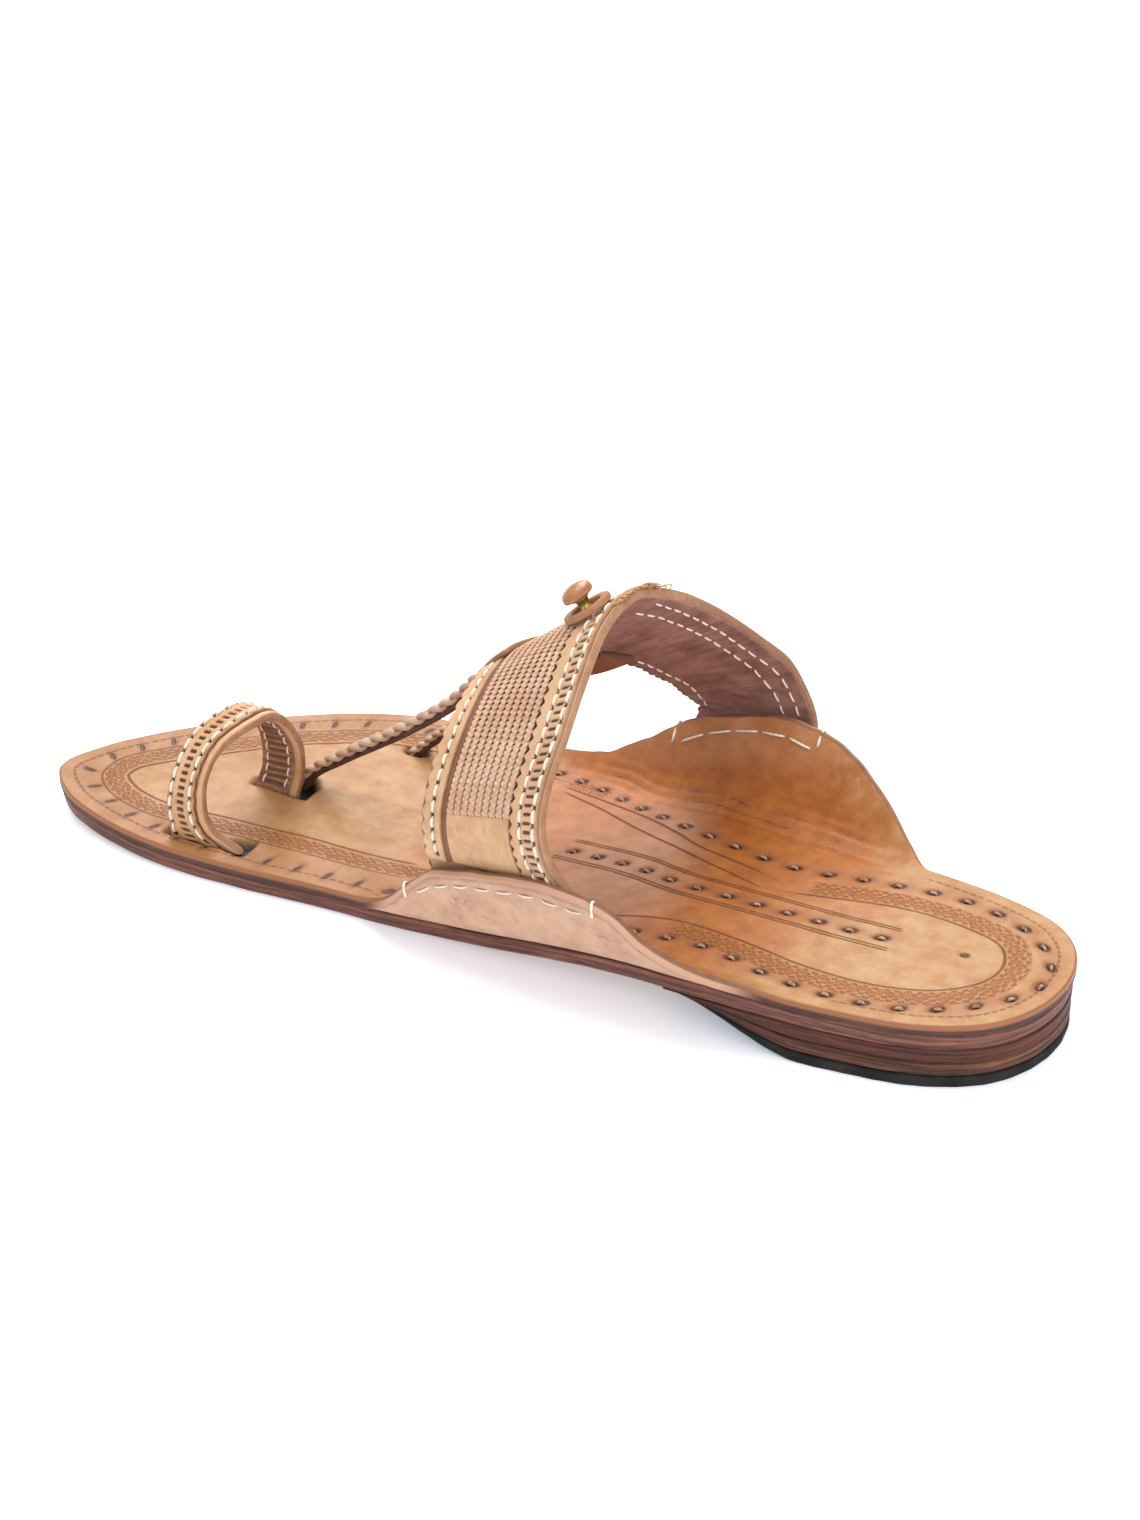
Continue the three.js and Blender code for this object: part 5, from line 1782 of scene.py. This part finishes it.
class SANDAL_OT_stage(bpy.types.Operator):
    """Makes the floor, the lights and the camera"""

    bl_idname = "sandal.stage"
    bl_label = "Stage"

    AIM = (1.2, 129.4, 44.6)
    DISTANCE = 800.0
    AZIMUTH, ELEVATION, ROLL = -61.375, 29.402, -1.63
    LENS = 78.158
    FLOOR_HALF = 6.0
    # name, place in metres, diameter, watts and colour
    LAMPS = (
        ("overhead", (0.25, 0.3, 1.3), 1.3, 18.0, (1.0, 0.985, 0.96)),
        ("far_side", (0.9, 0.5, 0.75), 0.7, 8.0, (1.0, 0.97, 0.93)),
        ("near_fill", (-1.1, -0.5, 0.8), 1.0, 6.5, (0.93, 0.96, 1.0)),
        ("heel_fill", (-0.25, -0.95, 0.5), 0.9, 5.0, (1.0, 0.98, 0.95)),
    )

    def floor(self):
        half = self.FLOOR_HALF
        corners = [(-half, -half, 0), (half, -half, 0), (half, half, 0), (-half, half, 0)]
        mesh = bpy.data.meshes.new("floor")
        mesh.from_pydata(corners, [], [(0, 1, 2, 3)])
        floor = bpy.data.objects.new("floor", mesh)
        bpy.context.scene.collection.objects.link(floor)
        mesh.materials.append(pale_floor("floor_white"))

    def camera(self):
        az, el, roll = (math.radians(a) for a in (self.AZIMUTH, self.ELEVATION, self.ROLL))
        ahead = Vector((-math.sin(az) * math.cos(el), math.cos(az) * math.cos(el), -math.sin(el)))
        level_right = Vector((math.cos(az), math.sin(az), 0))
        level_up = level_right.cross(ahead)
        right = math.cos(roll) * level_right + math.sin(roll) * level_up
        up = math.cos(roll) * level_up - math.sin(roll) * level_right
        place = Vector(to_frame(np.array(self.AIM) - self.DISTANCE * np.array(ahead)))
        data = bpy.data.cameras.new("camera")
        data.lens = self.LENS
        camera = bpy.data.objects.new("camera", data)
        turn = Matrix((right, up, -ahead)).transposed()
        camera.matrix_world = Matrix.Translation(place) @ turn.to_4x4()
        bpy.context.scene.collection.objects.link(camera)
        bpy.context.scene.camera = camera

    def light(self, name, place, size, power, shade):
        data = bpy.data.lights.new(name, "AREA")
        data.shape, data.size, data.energy, data.color = "DISK", size, power, shade
        lamp = bpy.data.objects.new(name, data)
        away = Vector((0, 0, 0.03)) - Vector(place)
        lamp.matrix_world = Matrix.Translation(place) @ away.to_track_quat("-Z", "Y").to_matrix().to_4x4()
        bpy.context.scene.collection.objects.link(lamp)

    def execute(self, context):
        self.floor()
        self.camera()
        for lamp in self.LAMPS:
            self.light(*lamp)
        world = bpy.data.worlds.new("studio")
        world.use_nodes = True
        sky = world.node_tree.nodes["Background"]
        sky.inputs["Color"].default_value = (0.93, 0.96, 1.0, 1)
        sky.inputs["Strength"].default_value = 0.6
        context.scene.world = world
        context.scene.view_settings.view_transform = "Standard"
        return {"FINISHED"}


class SANDAL_OT_heel(bpy.types.Operator):
    """Makes the rubber tread and the two leather lifts under the heel"""

    bl_idname = "sandal.heel"
    bl_label = "Heel"

    # how far the sides lean out, the open joint's share of the height, and the edges' unevenness
    LEAN, JOINT, UNEVEN = HEEL_TAPER - 0.6, 0.03, 0.12

    def layer(self, low_share, high_share, seed):
        y = end_loaded(170, HEEL_TIP)
        height = lambda share: (lambda at: under_heel(at) + (under_outsole(at) - under_heel(at)) * share)
        low_inset, high_inset = (HEEL_TAPER - self.LEAN * share for share in (low_share, high_share))
        low = height(low_share + (self.JOINT if low_share else 0.0))
        return slab(Shell(), y, low, height(high_share), low_inset, high_inset, self.UNEVEN, seed)

    def execute(self, context):
        tread = self.layer(0, TREAD_TOP, 71)
        add_piece("heel_tread_rubber", tread, tread_rubber("black_rubber"), "tread_rubber", "heel_tread")
        low = self.layer(TREAD_TOP, LIFT_JOINT, 72)
        main, dark, streak = linear(98, 54, 34), linear(40, 25, 20), linear(158, 110, 66)
        dye = sole_leather("lower_lift", main, dark, streak, 0.42, 4)
        add_piece("heel_lift_low", low, dye, "heel_leather", "heel_lift_lower")
        high = self.layer(LIFT_JOINT, 1, 73)
        main, dark, streak = linear(98, 46, 32), linear(40, 24, 20), linear(142, 86, 52)
        dye = sole_leather("upper_lift", main, dark, streak, 0.3, 11)
        add_piece("heel_lift_high", high, dye, "heel_leather", "heel_lift_upper")
        return {"FINISHED"}


class SANDAL_OT_outsole(bpy.types.Operator):
    """Makes the full-length leather outsole"""

    bl_idname = "sandal.outsole"
    bl_label = "Outsole"

    def execute(self, context):
        top = lambda y: under_outsole(y) + OUTSOLE_THICK - 0.12
        layer = slab(Shell(), sole_stations(320), under_outsole, top, SOLE_TAPER, 0.25, 0.14, 74)
        main, dark, streak = linear(126, 76, 62), linear(66, 42, 38), linear(164, 112, 80)
        dye = sole_leather("burnished_outsole", main, dark, streak, 0.4, 2)
        add_piece("outsole_leather", layer, dye, "outsole_leather", "outsole")
        return {"FINISHED"}


class SANDAL_OT_insole(bpy.types.Operator):
    """Makes the tooled leather top sole with its ears, and the laces in its holes"""

    bl_idname = "sandal.insole"
    bl_label = "Tooled top sole"

    def execute(self, context):
        leather, pitch, mid_length = insole_shell()
        dye = tooled_leather("tooled_tan", pitch, mid_length)
        add_piece("insole_leather", leather, dye, "insole_leather", "insole")
        lace = raw_lace("sole_lace", linear(196, 160, 132), linear(120, 80, 60))
        add_piece("insole_laces", hole_lace_shell(), lace, "insole_leather")
        return {"FINISHED"}


class SANDAL_OT_band(bpy.types.Operator):
    """Makes the band's leather, its lining, the rolled border and the two trimmed strips"""

    bl_idname = "sandal.band"
    bl_label = "Instep band"

    def execute(self, context):
        colours = context.scene.sandal_colours
        tan = strap_dye("band_tan", colours)
        add_piece("band_base", band_base_shell(), tan, "band_leather", "instep_band")
        lining = lining_leather("band_lining", tuple(colours.lining), linear(108, 70, 62))
        add_piece("band_lining", band_lining_shell(), lining, "lining_leather")
        # The border's far=0.85 paints shade over its outer side.
        border = strap_dye("border_tan", colours, tint=1.1, rough=0.55, far=0.85)
        add_piece("band_rear_border", rear_border_shell(), border, "band_leather")
        fibre = raw_lace("raw_fibre", linear(206, 166, 126), linear(150, 104, 70))
        add_piece("raw_fibres", raw_fibre_shell(), fibre, "band_leather")
        add_piece("band_rear_trim", rear_strip_shell(), tan, "band_leather", "band_rear_strip")
        add_piece("band_front_trim", front_strip_shell(), tan, "band_leather", "band_front_strip")
        add_piece("band_plain_panel", plain_panel_shell(), tan, "band_leather")
        return {"FINISHED"}


class SANDAL_OT_braids(bpy.types.Operator):
    """Makes the rows of fine braid on their dark backing, whose colour is painted shade between them"""

    bl_idname = "sandal.braids"
    bl_label = "Braid panel"

    def execute(self, context):
        colours = context.scene.sandal_colours
        pale, warm = tuple(colours.braid_pale), tuple(colours.braid_warm)
        # The backing's browns are painted shade, seen between the braids and beside the strips.
        browns = linear(74, 44, 34), linear(92, 56, 42), linear(46, 26, 20)
        dark = strap_leather("braid_gap_shade", *browns, 0.65, 0.2)
        add_piece("band_backing", backing_shell(), dark, "braid_leather")
        lace = braid_leather("braid_lace", pale, warm, linear(132, 82, 60))
        braids = band_braids_shell(context.scene.sandal_sizes.braids)
        add_piece("band_braids", braids, lace, "braid_leather", "band_braid_panel")
        browns = linear(142, 92, 66), linear(118, 74, 52), linear(84, 50, 36)
        brown = strap_leather("groove_brown", *browns, 0.55)
        add_piece("band_groove_edge", groove_shell(), brown, "band_leather")
        return {"FINISHED"}


class SANDAL_OT_ring(bpy.types.Operator):
    """Makes the toe ring, its lining and its trimmed outer strip"""

    bl_idname = "sandal.ring"
    bl_label = "Toe ring"

    def execute(self, context):
        colours = context.scene.sandal_colours
        tan = strap_dye("ring_tan", colours, tint=1.1)
        add_piece("ring_leather", toe_ring_shell(), tan, "band_leather", "toe_ring")
        add_piece("ring_trim", ring_cover_shell(), tan, "band_leather", "toe_ring_cover")
        lining = lining_leather("ring_lining", linear(176, 132, 100), linear(112, 74, 54))
        add_piece("ring_lining", ring_lining_shell(), lining, "lining_leather")
        return {"FINISHED"}


class SANDAL_OT_thongs(bpy.types.Operator):
    """Makes the two braided thongs, their dark strips and their flat ends"""

    bl_idname = "sandal.thongs"
    bl_label = "Thongs"

    # node, path, width and how often the plait repeats
    BRAIDED = (("thong", THONG_PATH, 2.9, 15.0), ("side_thong", SIDE_THONG_PATH, 2.3, 11.5))

    def execute(self, context):
        colours = context.scene.sandal_colours
        pale, warm = (tuple(c * 0.82 for c in dye) for dye in (colours.braid_pale, colours.braid_warm))
        lace = braid_leather("thong_lace", pale, warm, linear(104, 62, 42))
        dark = braid_leather("thong_strip", linear(88, 56, 42), linear(66, 40, 30), linear(40, 22, 16))
        for node, path, wide, period in self.BRAIDED:
            add_piece(f"{node}_braid", thong_shell(path, wide, period), lace, "braid_leather", node)
            add_piece(f"{node}_under", thong_strip_shell(path, wide), dark, "braid_leather")
        flat = strap_dye("tab_tan", colours)
        end = tab_shell(CREST, 0.45, 0.78, 1.05, 1.4, 1.4, 2.6)
        add_piece("thong_end", end, flat, "band_leather", "thong_tab")
        red = strap_leather("tab_red", linear(136, 84, 58), linear(110, 66, 48), linear(80, 46, 36), 0.6)
        end = tab_shell(9.9, 0.42, 0.82, 1.2, -3.9, 1.6)
        add_piece("side_thong_end", end, red, "band_leather", "side_thong_tab")
        return {"FINISHED"}


class SANDAL_OT_stud(bpy.types.Operator):
    """Makes the stud's brass stem and leather button, and the loop buttoned over it"""

    bl_idname = "sandal.stud"
    bl_label = "Stud"

    def execute(self, context):
        colours = context.scene.sandal_colours
        brass = old_brass("stud_brass", tuple(colours.brass))
        add_piece("stud_brass_stem", stud_stem_shell(), brass, "stud_brass", "stud_stem")
        button = button_leather("button_tan", tuple(colours.button), linear(134, 82, 46))
        add_piece("stud_button", stud_head_shell(), button, "stud_leather", "stud_head")
        loop = strap_leather("loop_tan", linear(178, 128, 90), linear(146, 98, 66), linear(86, 52, 38), 0.55)
        add_piece("stud_leather_loop", stud_loop_shell(), loop, "band_leather", "stud_loop")
        return {"FINISHED"}


class SANDAL_OT_stitches(bpy.types.Operator):
    """Makes the thread on the band, the ring and the ears"""

    bl_idname = "sandal.stitches"
    bl_label = "Stitches"

    def execute(self, context):
        sizes, colours = context.scene.sandal_sizes, context.scene.sandal_colours
        white = waxed_thread("white_thread", tuple(colours.thread))
        add_piece("band_stitches", band_stitch_shell(sizes.thread * MM), white, "stitch_thread")
        add_piece("ring_stitches", ring_stitch_shell(sizes.thread * MM), white, "stitch_thread")
        add_piece("ear_stitches", ear_stitch_shell(sizes.ear_thread * MM), white, "stitch_thread")
        return {"FINISHED"}


OPERATORS = (
    SANDAL_OT_stage, SANDAL_OT_heel, SANDAL_OT_outsole, SANDAL_OT_insole, SANDAL_OT_band, SANDAL_OT_braids,
    SANDAL_OT_ring, SANDAL_OT_thongs, SANDAL_OT_stud, SANDAL_OT_stitches,
)


class SANDAL_PT_panel(bpy.types.Panel):
    """Lists the sandal's pieces in the sidebar"""

    bl_idname = "SANDAL_PT_panel"
    bl_label = "Kolhapuri Sandal"
    bl_space_type = "VIEW_3D"
    bl_region_type = "UI"
    bl_category = "Sandal"

    def draw(self, context):
        for group in (context.scene.sandal_sizes, context.scene.sandal_colours):
            for name in group.__annotations__:
                self.layout.prop(group, name)
        for operator in OPERATORS:
            self.layout.operator(operator.bl_idname)


CLASSES = (SandalSizes, SandalColours, *OPERATORS, SANDAL_PT_panel)


def register():
    for made in CLASSES:
        bpy.utils.register_class(made)
    bpy.types.Scene.sandal_sizes = PointerProperty(type=SandalSizes)
    bpy.types.Scene.sandal_colours = PointerProperty(type=SandalColours)


def unregister():
    del bpy.types.Scene.sandal_colours
    del bpy.types.Scene.sandal_sizes
    for made in reversed(CLASSES):
        bpy.utils.unregister_class(made)


def main():
    """Registers the add-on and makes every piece."""
    register()
    for operator in OPERATORS:
        group, name = operator.bl_idname.split(".")
        getattr(getattr(bpy.ops, group), name)()
    bpy.context.view_layer.update()


if __name__ == "__main__":
    main()
